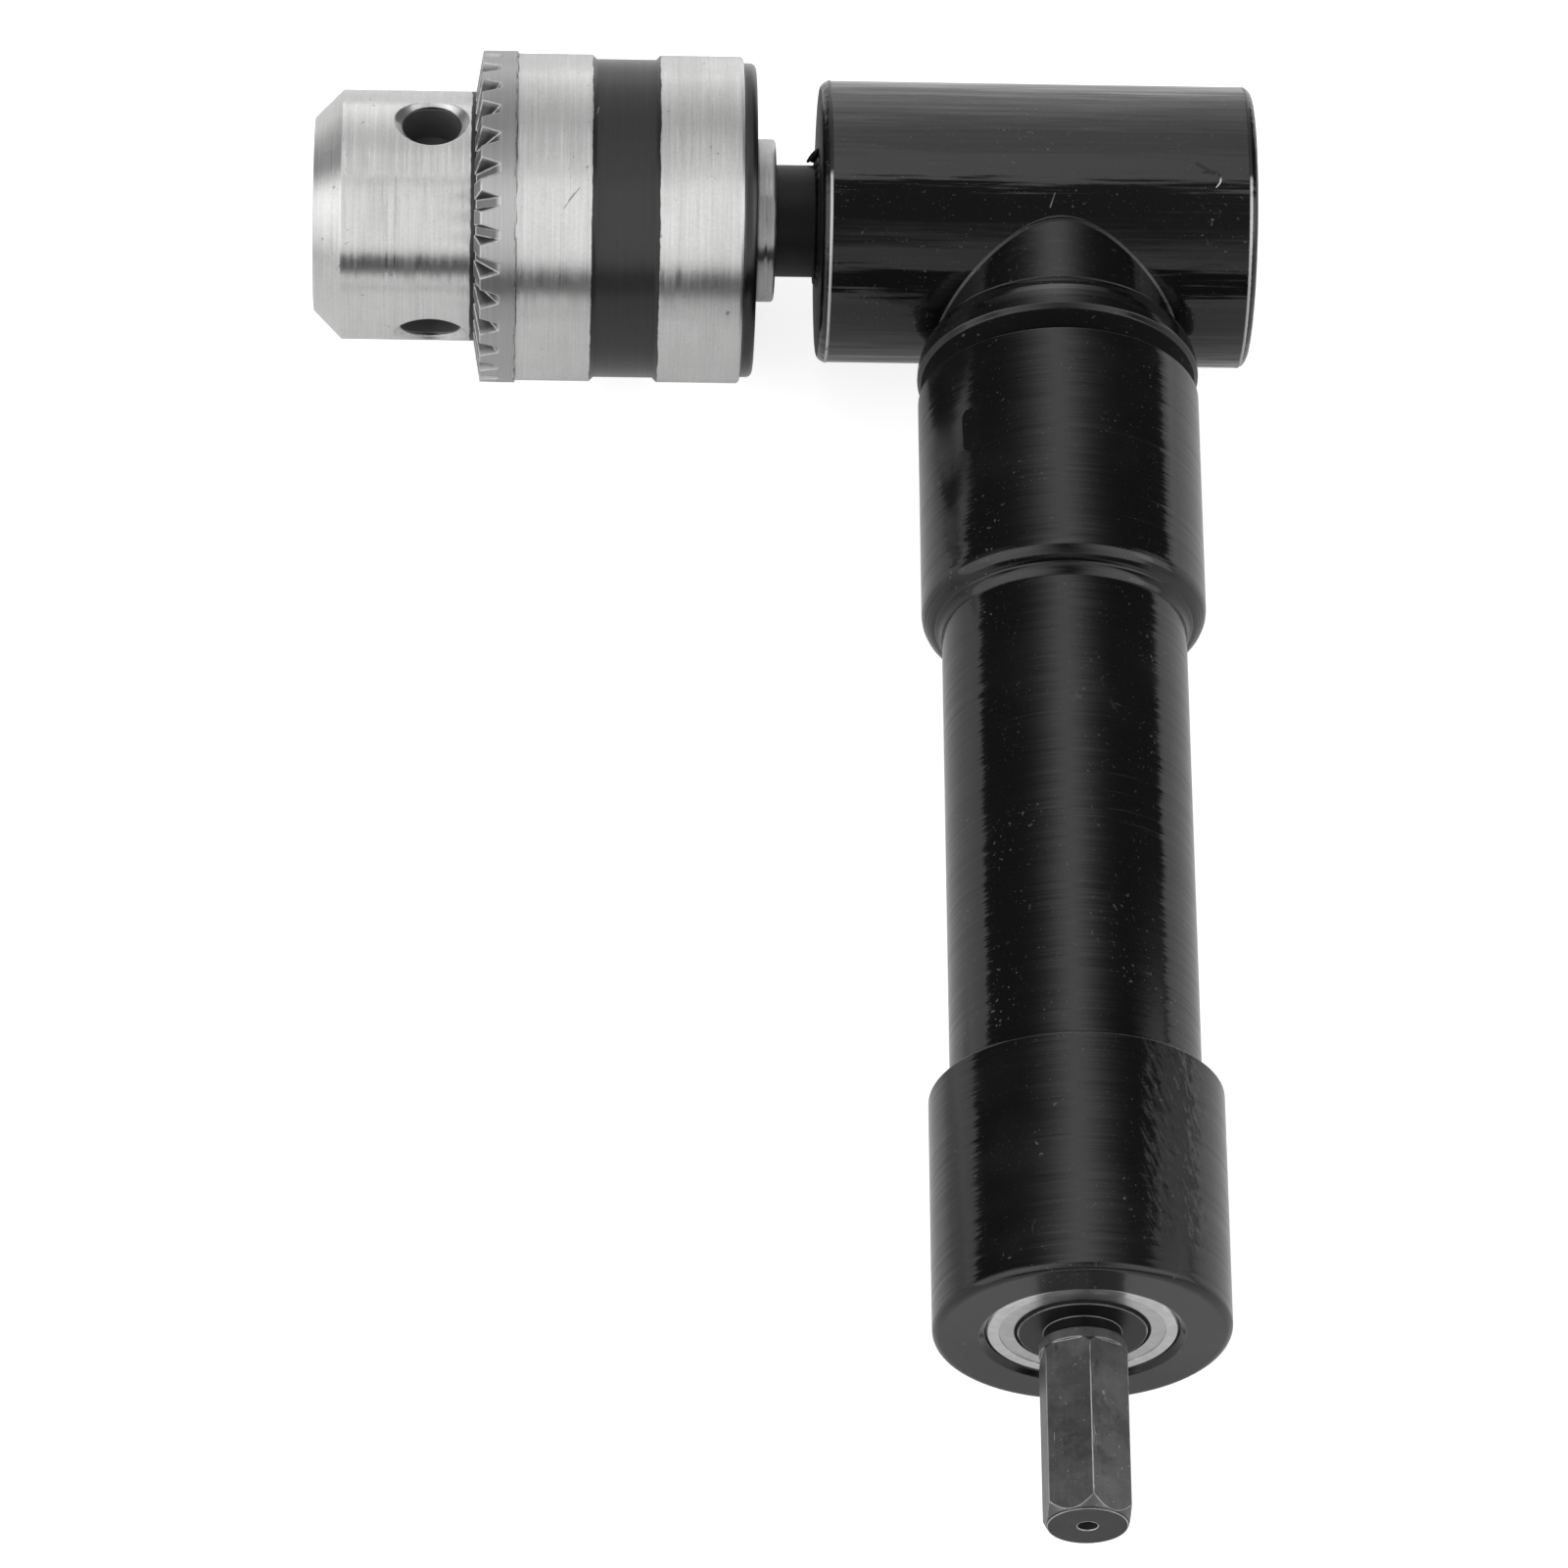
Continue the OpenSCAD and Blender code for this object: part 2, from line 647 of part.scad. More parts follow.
module input_circlip() {
    on_handle() translate([0, 0, branch_len + handle_bearing_w]) shaft_circlip(handle_bearing_bore);
}

// Output spindle and what turns with it

module output_spindle() {
    clip = -rear_bearing_back;
    rear_r = rear_bearing_bore / 2;
    color(paint) on_spindle() difference() {
        union() {
            rod(2 * rear_r, clip - spindle_end_len, clip - circlip_t);
            rod(2 * (rear_r - circlip_groove), clip - circlip_t, clip);
            rod(2 * rear_r, clip, -rear_bearing_start);
            rod(gear_seat_d, -rear_bearing_start, shoulder_start);
            rod(shoulder_d, shoulder_start, front_bearing_start);
            rod(front_bearing_bore, front_bearing_start, front_bearing_end);
            rod(neck_d, front_bearing_end, neck_end);
            rod(thread_d, neck_end, thread_end);
        }
        cross_hole(shoulder_start - pin_inset);
    }
}

module driven_gear() {
    color(steel) on_spindle() bevel_gear(shoulder_start, -90 + gear_step / 2);
}

module gear_pin() {
    color(steel) on_spindle() translate([0, 0, shoulder_start - pin_inset]) rotate([0, 90, 0])
        cylinder(d = pin_d, h = gear_hub_d, center = true);
}

module spindle_circlip() {
    on_spindle() translate([0, 0, -rear_bearing_back - circlip_t]) shaft_circlip(rear_bearing_bore);
}

module spindle_washer() {
    r = washer_d / 2;
    color(steel) on_spindle() difference() {
        rotate_extrude() polygon(concat([[0, neck_end]],
            arc([r - washer_round, neck_end + washer_round], washer_round, -90, 0),
            arc([r - washer_round, chuck_rear - washer_round], washer_round, 0, 90),
            [[0, chuck_rear]]));
        rod(thread_d + 2 * thread_gap, neck_end - over, chuck_rear + over);
    }
}

// Chuck

// A rod along one jaw's tilted axis, between two depths behind the nose face
module jaw_rod(r, z0, z1) {
    translate([0, 0, -jaw_apex]) rotate([0, jaw_tilt, 0])
        translate([0, 0, (z0 + jaw_apex) / cos(jaw_tilt)])
            cylinder(r = r, h = (z1 - z0) / cos(jaw_tilt));
}

module chuck_body() {
    flange_r = body_flange_d / 2;
    key_bottom = nose_d / 2 - key_hole_depth;
    key_r = key_hole_d / 2;
    color(ground) in_chuck() difference() {
        rotate_extrude() polygon(concat([[0, 0], [nose_face_r, 0], [nose_d / 2, nose_bevel],
            [nose_d / 2, lip_end], [nut_floor_r, lip_end], [nut_floor_r, nut_groove_end],
            [body_rear_d / 2, nut_groove_end], [body_rear_d / 2, chuck_len - body_flange_len],
            [flange_r, chuck_len - body_flange_len]],
            arc([flange_r - flange_round, chuck_len - flange_round], flange_round, 0, 90),
            [[0, chuck_len]]));
        rod(chuck_bore_d, -over, chuck_bore_depth - chuck_pilot_len);
        rod(chuck_pilot_d, chuck_bore_depth - chuck_pilot_len - over, chuck_bore_depth);
        rod(screw_hole_d, chuck_bore_depth - over, chuck_len);
        rod(thread_d + 2 * thread_gap, chuck_bore_depth + chuck_web, chuck_len + over);
        for (a = key_angles) rotate([0, 0, a]) translate([0, 0, key_hole_pos]) rotate([0, 90, 0])
            rotate_extrude() polygon([[0, key_bottom], [key_r, key_bottom],
                [key_r, nose_d / 2 - key_countersink], [key_r + key_countersink, nose_d / 2],
                [key_r + key_countersink, nose_d / 2 + over], [0, nose_d / 2 + over]]);
        for (a = jaw_angles) rotate([0, 0, a])
            jaw_rod(jaw_d / 2 + jaw_hole_gap, -jaw_apex, jaw_rear_pos + jaw_clear);
    }
}

// One notch between two key teeth, deeper towards the outside of the ring
module key_notch() {
    inner = [nose_d / 2, sleeve_start + run_gap];
    outer = [ring_d / 2, sleeve_start + ring_cone_len + key_tooth_depth];
    run = outer - inner;
    slope = atan(run[1] / run[0]);
    size = key_tooth_depth + ring_cone_len;
    flare = 22;
    end_w = key_notch_w / 2;
    mouth_w = end_w + size * tan(flare);
    translate([inner[0], 0, inner[1]]) rotate([0, 90 - slope, 0])
        linear_extrude(height = norm(run) + over)
            polygon([[0, -end_w], [0, end_w], [size, mouth_w], [size, -mouth_w]]);
}

module chuck_sleeve() {
    front_r = ring_d / 2;
    band_r = sleeve_d / 2;
    band_end = sleeve_start + ring_len + front_band_len;
    floor_r = band_r - groove_depth;
    color(steel) in_chuck() difference() {
        rotate_extrude() polygon([[nose_d / 2 + run_gap, sleeve_start],
            [front_r, sleeve_start + ring_cone_len], [front_r, sleeve_start + ring_len],
            [band_r, sleeve_start + ring_len + run_gap], [band_r, band_end],
            [floor_r, band_end + groove_depth], [floor_r, band_end + groove_len - groove_depth],
            [band_r, band_end + groove_len], [band_r, sleeve_end - sleeve_edge],
            [band_r - sleeve_edge, sleeve_end], [sleeve_bore_r, sleeve_end],
            [sleeve_bore_r, lip_end], [nose_d / 2 + run_gap, lip_end]]);
        for (i = [1:key_teeth]) rotate([0, 0, (i - 1 / 2) * 360 / key_teeth]) key_notch();
    }
}

module split_nut() {
    start = lip_end + face_gap;
    end = start + nut_len;
    hug = jaw_d / 2 / cos(jaw_tilt) + run_gap;
    color(oxide) in_chuck() difference() {
        rotate_extrude() polygon([
            [(start + jaw_apex) * tan(jaw_tilt) + hug, start], [sleeve_bore_r, start],
            [sleeve_bore_r, end], [(end + jaw_apex) * tan(jaw_tilt) + hug, end]]);
        translate([-sleeve_bore_r - over, -nut_slot / 2, start - over])
            cube([2 * (sleeve_bore_r + over), nut_slot, nut_len + 2 * over]);
    }
}

// The jaw at one of the jaw angles, with its rack of teeth outside
module jaw(i) {
    back_r = body_rear_d / 2 - jaw_back_gap;
    rack_start = lip_end;
    rack_count = floor((jaw_rear_pos - rack_start) / cos(jaw_tilt) / jaw_pitch) - 1;
    color(oxide) in_chuck() rotate([0, 0, jaw_angles[i]]) difference() {
        intersection() {
            jaw_rod(jaw_d / 2, 0, jaw_rear_pos + jaw_d);
            rod(2 * back_r, jaw_tip_pos, jaw_rear_pos);
            translate([jaw_open_r, 0, 0]) linear_extrude(height = jaw_rear_pos + over)
                polygon([[0, 0], [back_r, back_r * tan(60)], [back_r, -back_r * tan(60)]]);
        }
        translate([0, 0, -jaw_apex]) rotate([0, jaw_tilt, 0])
            for (k = [1:rack_count])
                translate([jaw_d / 2 - jaw_tooth_depth, -jaw_d / 2,
                    (rack_start + jaw_apex) / cos(jaw_tilt) + k * jaw_pitch])
                    cube([jaw_d / 2, jaw_d, jaw_pitch / 2]);
    }
}

module jaw_1() { jaw(0); }
module jaw_2() { jaw(1); }
module jaw_3() { jaw(2); }

head_housing();
neck_ring();
upper_collar();
grip_tube();
lower_collar();
rear_cap();
rear_cap_ring();
front_bearing_ring();
neck_bearing_ring();
front_bearing_outer();
front_bearing_inner();
front_bearing_balls();
front_bearing_cage();
front_bearing_shields();
rear_bearing_outer();
rear_bearing_inner();
rear_bearing_balls();
rear_bearing_cage();
rear_bearing_shields();
neck_bearing_outer();
neck_bearing_inner();
neck_bearing_balls();
neck_bearing_cage();
neck_bearing_shields();
shank_bearing_outer();
shank_bearing_inner();
shank_bearing_balls();
shank_bearing_cage();
shank_bearing_shields();
input_shaft();
bevel_pinion();
pinion_pin();
input_circlip();
output_spindle();
driven_gear();
gear_pin();
spindle_circlip();
spindle_washer();
chuck_body();
chuck_sleeve();
split_nut();
jaw_1();
jaw_2();
jaw_3();
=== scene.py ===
"""Looks, thin painted pieces, floor, light and camera for the right angle drill attachment."""
import json
import math

import bmesh
import bpy
from mathutils import Matrix, Vector


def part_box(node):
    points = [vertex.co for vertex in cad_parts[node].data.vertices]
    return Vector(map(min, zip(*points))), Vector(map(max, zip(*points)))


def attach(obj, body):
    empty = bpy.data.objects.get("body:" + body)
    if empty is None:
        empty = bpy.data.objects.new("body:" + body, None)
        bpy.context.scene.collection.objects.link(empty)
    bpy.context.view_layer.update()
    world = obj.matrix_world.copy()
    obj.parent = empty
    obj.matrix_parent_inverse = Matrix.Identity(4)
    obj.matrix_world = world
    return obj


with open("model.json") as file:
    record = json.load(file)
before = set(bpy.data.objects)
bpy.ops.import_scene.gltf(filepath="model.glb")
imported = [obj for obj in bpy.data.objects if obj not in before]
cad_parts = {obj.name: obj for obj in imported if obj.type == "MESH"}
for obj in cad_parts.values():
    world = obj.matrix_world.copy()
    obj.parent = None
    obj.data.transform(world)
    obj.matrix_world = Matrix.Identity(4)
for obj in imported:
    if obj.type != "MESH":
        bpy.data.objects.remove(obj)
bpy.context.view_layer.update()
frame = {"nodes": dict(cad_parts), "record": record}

MM = 0.001
# Places from the frame are in metres, rounded to a hundredth of a millimetre
DIGITS = 5
head_low, head_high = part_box("head_housing")
chuck_low, chuck_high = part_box("chuck_body")
# The crossing of the handle axis and the spindle axis, and its height in mm
CROSS = Vector((0.0, round((chuck_low.y + chuck_high.y) / 2, DIGITS), 0.0))
TOP = CROSS.y * 1000
# The chuck's nose face
NOSE_X = round(chuck_low.x, DIGITS)
# The floor, just under the lowest node
FLOOR_GAP = 0.00001
FLOOR_Z = round(min(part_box(node)[0].z for node in frame["nodes"]) - FLOOR_GAP, DIGITS)


# Camera at the photograph's viewing angle

LENS_MM = 187.364
SENSOR_MM = 36.0
CLIP_NEAR = 0.01
CLIP_FAR = 50.0
CAMERA_PLACE = Vector((-0.055115, -0.331957, 0.707674))
CAMERA_RIGHT = Vector((0.9993948, -0.0051878, 0.0343963))
CAMERA_DOWN = Vector((0.0128726, -0.8634633, -0.5042474))
CAMERA_AHEAD = Vector((0.0323159, 0.5043850, -0.8628740))


def make_camera():
    data = bpy.data.cameras.new("camera")
    data.lens = LENS_MM
    data.sensor_width = SENSOR_MM
    data.sensor_fit = "HORIZONTAL"
    data.clip_start = CLIP_NEAR
    data.clip_end = CLIP_FAR
    cam = bpy.data.objects.new("camera", data)
    m = Matrix.Identity(4)
    for row in range(3):
        m[row][0] = CAMERA_RIGHT[row]
        m[row][1] = -CAMERA_DOWN[row]
        m[row][2] = -CAMERA_AHEAD[row]
    m.translation = CAMERA_PLACE
    cam.matrix_world = m
    bpy.context.scene.collection.objects.link(cam)
    bpy.context.scene.camera = cam


make_camera()


# Short names for shader nodes

EDGE_SAMPLES = 6
# The likeness of the rounded and the plain normal, from flat to a full edge
EDGE_RANGE = (0.995, 0.90)


class Nodes:
    def __init__(self, tree):
        self.tree = tree
        tree.nodes.clear()

    def add(self, kind, **settings):
        n = self.tree.nodes.new(kind)
        for k, v in settings.items():
            setattr(n, k, v)
        return n

    def put(self, socket, value):
        if isinstance(value, bpy.types.NodeSocket):
            self.tree.links.new(value, socket)
        else:
            socket.default_value = value

    def math(self, op, a, b=0.0, clamp=False):
        n = self.add("ShaderNodeMath", operation=op, use_clamp=clamp)
        for s, v in zip(n.inputs, (a, b)):
            self.put(s, v)
        return n.outputs[0]

    def plus(self, a, b, clamp=False):
        return self.math("ADD", a, b, clamp)

    def minus(self, a, b, clamp=False):
        return self.math("SUBTRACT", a, b, clamp)

    def times(self, a, b, clamp=False):
        return self.math("MULTIPLY", a, b, clamp)

    def vary(self, base, noise, amount, clamp=False):
        """The base moved up and down by a noise that lies round 0.5."""
        return self.plus(base, self.times(self.minus(noise, 0.5), amount), clamp)

    def ramp(self, x, low, high, to_low=0.0, to_high=1.0):
        n = self.add("ShaderNodeMapRange", interpolation_type="SMOOTHSTEP")
        for s, v in zip(n.inputs, (x, low, high, to_low, to_high)):
            self.put(s, v)
        return n.outputs[0]

    def band(self, x, low, high, soft):
        up = self.ramp(x, low - soft, low + soft)
        down = self.ramp(x, high - soft, high + soft, 1.0, 0.0)
        return self.times(up, down)

    def mix(self, fac, a, b):
        """A blend of two colours."""
        n = self.add("ShaderNodeMix", data_type="RGBA")
        for s, v in ((n.inputs[0], fac), (n.inputs[6], a), (n.inputs[7], b)):
            self.put(s, v)
        return n.outputs[2]

    def mixf(self, fac, a, b):
        """A blend of two numbers."""
        n = self.add("ShaderNodeMix", data_type="FLOAT")
        for s, v in ((n.inputs[0], fac), (n.inputs[2], a), (n.inputs[3], b)):
            self.put(s, v)
        return n.outputs[0]

    def coords(self):
        tc = self.add("ShaderNodeTexCoord")
        sep = self.add("ShaderNodeSeparateXYZ")
        self.put(sep.inputs[0], tc.outputs["Object"])
        return tc.outputs["Object"], sep.outputs

    def noise(self, vector, scale, detail=4.0, rough=0.55, distortion=0.0):
        if not isinstance(scale, (int, float)):
            m = self.add("ShaderNodeMapping")
            self.put(m.inputs["Vector"], vector)
            m.inputs["Scale"].default_value = scale
            vector, scale = m.outputs[0], 1.0
        n = self.add("ShaderNodeTexNoise")
        self.put(n.inputs["Vector"], vector)
        n.inputs["Scale"].default_value = scale
        n.inputs["Detail"].default_value = detail
        n.inputs["Roughness"].default_value = rough
        n.inputs["Distortion"].default_value = distortion
        return n.outputs["Fac"]

    def layers(self, pos, table):
        return {key: self.noise(pos, *values) for key, values in table.items()}

    def masks(self, layer, table):
        return {key: self.ramp(layer[key], *ends) for key, ends in table.items()}

    def vec(self, op, a, b=(0.0, 0.0, 0.0)):
        n = self.add("ShaderNodeVectorMath", operation=op)
        self.put(n.inputs[0], a)
        self.put(n.inputs["Scale"] if op == "SCALE" else n.inputs[1], b)
        return n.outputs["Value"] if op == "DOT_PRODUCT" else n.outputs["Vector"]

    def across(self, xyz, axis):
        """The two places across the handle axis (Y) or the spindle axis (X)."""
        first = xyz["X"] if axis == "Y" else self.minus(xyz["Y"], CROSS.y)
        return first, xyz["Z"]

    def radius(self, xyz, axis):
        a, b = self.across(xyz, axis)
        return self.math("SQRT", self.plus(self.times(a, a), self.times(b, b)))

    def around(self, xyz, axis):
        """The direction round the axis."""
        a, b = self.across(xyz, axis)
        c = self.add("ShaderNodeCombineXYZ")
        self.put(c.inputs["Z"], self.times(a, -1.0))
        self.put(c.inputs["X" if axis == "Y" else "Y"], b)
        return self.vec("NORMALIZE", c.outputs[0])

    def tilt(self, along, amount, start):
        """The start normal leant along a direction by an amount."""
        lean = self.vec("SCALE", along, amount)
        return self.vec("NORMALIZE", self.vec("ADD", start, lean))

    def soft_edges(self, radius):
        """A normal rounded over sharp edges, and a mask of where they are."""
        b = self.add("ShaderNodeBevel", samples=EDGE_SAMPLES)
        b.inputs["Radius"].default_value = radius
        g = self.add("ShaderNodeNewGeometry")
        same = self.vec("DOT_PRODUCT", b.outputs[0], g.outputs["Normal"])
        return b.outputs[0], self.ramp(same, *EDGE_RANGE)

    def stroke(self, pos, a, b, width):
        """A line from a to b as a mask that fades out at its width, all in mm."""
        a, b = Vector(a) * MM, Vector(b) * MM
        ba = b - a
        pa = self.vec("SUBTRACT", pos, tuple(a))
        along = self.vec("DOT_PRODUCT", pa, tuple(ba))
        h = self.math("DIVIDE", along, ba.dot(ba), clamp=True)
        off = self.vec("SUBTRACT", pa, self.vec("SCALE", tuple(ba), h))
        d2 = self.vec("DOT_PRODUCT", off, off)
        return self.ramp(d2, 0.0, (width * MM) ** 2, 1.0, 0.0)

    def bump(self, height, distance, strength, normal):
        n = self.add("ShaderNodeBump")
        n.inputs["Strength"].default_value = strength
        n.inputs["Distance"].default_value = distance
        self.put(n.inputs["Height"], height)
        if normal is not None:
            self.put(n.inputs["Normal"], normal)
        return n.outputs[0]

    def finish(self, colour, rough, normal, metallic=0.0, **plain):
        """The surface shader, with further inputs by name."""
        out = self.add("ShaderNodeOutputMaterial")
        p = self.add("ShaderNodeBsdfPrincipled")
        self.put(p.inputs["Base Color"], colour)
        self.put(p.inputs["Roughness"], rough)
        self.put(p.inputs["Metallic"], metallic)
        self.put(p.inputs["Normal"], normal)
        for k, v in plain.items():
            p.inputs[k.replace("_", " ")].default_value = v
        self.tree.links.new(p.outputs[0], out.inputs[0])
        return p


def material(name):
    m = bpy.data.materials.new(name)
    m.use_nodes = True
    return m, Nodes(m.node_tree)


def grey(v, tint=1.0):
    return (v, v, v * tint, 1.0)


# Black enamel with soft highlights, fine wiping marks, dust and a few nicks

# Noise layers: scale per metre, detail, then roughness and distortion where they differ
ENAMEL_NOISE = {
    "wide": (90, 3.0),
    "grain": (1400, 2.0),
    "patch": (160, 4.0, 0.6),
    "dust": (2300, 1.0, 0.4),
    "lint": (5200, 1.0, 0.4),
    "line_areas": (120, 3.0),
    "scuff": ([900, 300, 2600], 4.0, 0.6, 0.4),
    "scuff_areas": (75, 2.0),
    "haze": (55, 3.0, 0.6),
}
# Layers drawn out round each axis
ENAMEL_STREAKS = {
    "Y": {"fine": ([30, 3300, 30], 5.0, 0.6), "coarse": ([30, 1300, 30], 4.0, 0.65)},
    "X": {"fine": ([45, 1900, 1900], 5.0, 0.6), "coarse": ([60, 900, 900], 4.0, 0.65)},
}
# From where to where in its layer each mark grows from none to full
ENAMEL_RANGE = {
    "patch": (0.45, 0.7),
    "dust": (0.69, 0.75),
    "lint": (0.74, 0.79),
    "fine": (0.60, 0.70),
    "line_areas": (0.48, 0.66),
    "scuff": (0.66, 0.74),
    "scuff_areas": (0.56, 0.68),
    "haze": (0.5, 0.72),
}
# How much each mark covers the colour below it, and its tone
ENAMEL_MARKS = {
    "lines": (0.5, 0.032),
    "haze": (0.25, 0.02),
    "scuff": (0.45, 0.06),
    "dust": (0.45, 0.16),
}
ENAMEL_TINT = 1.1
ENAMEL_EDGE_RADIUS = 0.00021
# Sharp edges are lightened: partly worn paint, partly a painted highlight along the edges
ENAMEL_EDGE_COVER = (0.45, 0.9)
ENAMEL_EDGE_TONE = 0.11
# What the layers and marks add to the roughness
WIDE_ROUGH, LINE_ROUGH, SCUFF_ROUGH, MARK_ROUGH = 0.12, 0.08, 0.2, 0.45
# The end face of the head, duller than its side
FACE_SOFT, FACE_ROUGH = 0.0001, 0.5
# How much of the lean the coarse and the fine streaks take
COARSE_LEAN = {"Y": 0.5, "X": 1.0}
FINE_LEAN = 1.2
SAG_RANGE = (0.3, 0.6)
# Depth and strength of each bump
WIDE_BUMP, GRAIN_BUMP, DUST_BUMP = (0.00006, 0.35), (0.000008, 0.5), (0.00003, 0.4)

# The brushed patch on the lower collar
BRUSH_ANGLE = math.radians(-32)
BRUSH_NOISE = ([2300, 260, 2300], 4.0, 0.6)
BRUSH_X = (0.0068, 0.0128, 0.0012)
BRUSH_Y = (0.0225, 0.027)
BRUSH_Z = (0.0, 0.002)
BRUSH_WANDER = 0.003
BRUSH_LEAN, BRUSH_ROUGH, BRUSH_TONE = 0.9, 0.08, 0.028
BRUSH_COVER = (0.55, 0.7, 0.0, 0.5)


def brushed_patch(n, pos, xyz, wide):
    """Where the lower collar is brushed, and the hair-fine lines in it."""
    mapping = n.add("ShaderNodeMapping")
    n.put(mapping.inputs["Vector"], pos)
    mapping.inputs["Rotation"].default_value = (0.0, 0.0, BRUSH_ANGLE)
    hair = n.noise(mapping.outputs[0], *BRUSH_NOISE)
    place = n.plus(xyz["X"], n.times(wide, BRUSH_WANDER))
    area = n.times(n.band(place, *BRUSH_X), n.ramp(xyz["Z"], *BRUSH_Z))
    return n.times(area, n.ramp(xyz["Y"], *BRUSH_Y)), hair


def black_paint(name, axis, level=0.0042, rough=0.13, lean=0.17, gloss_level=0.5,
                dull_below=None, brushed=False, marks=(), sags=()):
    m, n = material(name)
    pos, xyz = n.coords()
    around = n.around(xyz, axis)
    normal, edge = n.soft_edges(ENAMEL_EDGE_RADIUS)
    layer = n.layers(pos, {**ENAMEL_NOISE, **ENAMEL_STREAKS[axis]})
    mask = n.masks(layer, ENAMEL_RANGE)
    haze = mask["haze"]
    dust = n.times(mask["dust"], mask["patch"])
    lines = n.times(mask["fine"], mask["line_areas"])
    scuff = n.times(mask["scuff"], mask["scuff_areas"])
    specks = n.plus(dust, mask["lint"], clamp=True)
    cover = {"lines": lines, "haze": haze, "scuff": scuff, "dust": specks}
    colour = grey(level, ENAMEL_TINT)
    for key, (share, tone) in ENAMEL_MARKS.items():
        colour = n.mix(n.times(cover[key], share), colour, grey(tone))
    # Sharp edges painted lighter: worn paint together with a painted highlight
    worn_and_highlit_edges = n.times(edge, n.ramp(mask["patch"], 0.0, 1.0, *ENAMEL_EDGE_COVER))
    colour = n.mix(worn_and_highlit_edges, colour, grey(ENAMEL_EDGE_TONE))
    gloss = n.vary(rough, layer["wide"], WIDE_ROUGH)
    gloss = n.plus(gloss, n.times(n.plus(lines, haze), LINE_ROUGH))
    gloss = n.plus(gloss, n.times(scuff, SCUFF_ROUGH), clamp=True)
    if dull_below is not None:
        face = n.ramp(xyz["X"], dull_below + FACE_SOFT, dull_below - FACE_SOFT)
        gloss = n.mixf(face, gloss, FACE_ROUGH)
    away = n.times(n.minus(layer["coarse"], 0.5), lean * COARSE_LEAN[axis])
    away = n.vary(away, layer["fine"], lean * FINE_LEAN)
    if brushed:
        area, hair = brushed_patch(n, pos, xyz, layer["wide"])
        away = n.plus(away, n.times(area, n.times(n.minus(hair, 0.5), BRUSH_LEAN)))
        gloss = n.plus(gloss, n.times(area, BRUSH_ROUGH))
        colour = n.mix(n.times(area, n.ramp(hair, *BRUSH_COVER)), colour, grey(BRUSH_TONE))
    for start, end, width, tone in marks:
        line = n.stroke(pos, start, end, width)
        colour = n.mix(line, colour, grey(tone))
        gloss = n.mixf(line, gloss, MARK_ROUGH)
    for start, end, width, turn in sags:
        sag = n.ramp(n.stroke(pos, start, end, width), *SAG_RANGE)
        away = n.plus(away, n.times(sag, turn))
    b = n.tilt(around, away, normal)
    b = n.bump(layer["wide"], *WIDE_BUMP, b)
    b = n.bump(layer["grain"], *GRAIN_BUMP, b)
    b = n.bump(dust, *DUST_BUMP, b)
    n.finish(colour, gloss, b, Specular_IOR_Level=gloss_level)
    return m


# Bright steel turned or ground round the spindle axis, in zones along it

STEEL_NOISE = {
    "fine": ([9000, 90, 90], 4.0, 0.6),
    "mid": ([2600, 60, 60], 3.0, 0.5),
    "broad": ([900, 40, 40], 3.0, 0.5),
    "blotch": (140, 4.0, 0.6),
    "scratch": ([260, 5200, 900], 3.0, 0.5, 0.3),
    "scratch_areas": (210, 2.0),
    "nick": (1500, 2.0, 0.5),
    "speck": (3600, 2.0, 0.5),
    "grain": (3000, 2.0),
}
STEEL_RANGE = {
    "scratch": (0.64, 0.72),
    "scratch_areas": (0.50, 0.64),
    "nick": (0.68, 0.74),
    "blotch": (0.45, 0.62),
    "speck": (0.72, 0.78),
}
# How far each layer moves the shade up and down
STEEL_SHADE = {"fine": 0.30, "broad": 0.08, "mid": 0.16, "grain": 0.14, "blotch": 0.16}
STEEL_WHITE = (1.0, 0.995, 0.99, 1.0)
# The darkest and the lightest share of a tone that a noise layer shades
SHADE_SHARES = (0.75, 1.25)
SCRATCH_LIGHT, NICK_DARK = 0.072, 0.24
MID_ROUGH, NICK_ROUGH = 0.26, 0.2
# A slightly wavy edge for the zones
ZONE_NOISE = ([500, 330, 330], 4.0, 0.65)
ZONE_WANDER, ZONE_SOFT = 0.0005, 0.00007
# Painted shade on the walls of the gaps between the teeth, and the white burrs on the teeth's
# edges
TEETH_SOFT = 0.0001
WALL_DEPTH = (0.0001, 0.0009)
GAP_SHADE_COVER, GAP_SHADE_TONE = 0.75, 0.10
BURR_NOISE, BURR_RANGE = (600, 3.0), (0.3, 0.5)
BURR_TONE, BURR_ROUGH = 0.95, 0.6
TOOTHED_EDGE_RADIUS, STEEL_EDGE_RADIUS = 0.00028, 0.00020
STEEL_EDGE_COVER, STEEL_EDGE_TONE = 0.5, 0.82
MARK_COVER = 0.8
NICK_BUMP = (0.00002, -0.24)
# Painted shade inside the chuck: where the key holes and the bore begin and end along it,
# and the radius inside which the metal is painted dark
HOLES_X = (NOSE_X + 0.0052, NOSE_X + 0.045, 0.0002)
HOLES_RADIUS = (0.01235, 0.0121)
MOUTH_X = (NOSE_X + 0.0004, NOSE_X + 0.045, 0.0002)
MOUTH_RADIUS = (0.0092, 0.0090)
HOLE_SHADE_TONES, HOLE_ROUGH = (0.06, 0.16), 0.5
MATTE_SOFT, MATTE_COVER = 0.0001, 0.6
ALONG_LINES, LINE_TURN = 0.95, 0.25


def steel_zones(n, pos, x, fine, zones, colour, gloss):
    """The colour and the roughness with the zones laid over them."""
    place = n.vary(x, n.noise(pos, *ZONE_NOISE), ZONE_WANDER)
    for low, high, tone, dull in zones:
        zone = n.band(place, low, high, ZONE_SOFT)
        shaded = n.mix(fine, *(grey(tone * share) for share in SHADE_SHARES))
        colour = n.mix(zone, colour, shaded)
        gloss = n.mixf(zone, gloss, dull)
    return colour, gloss


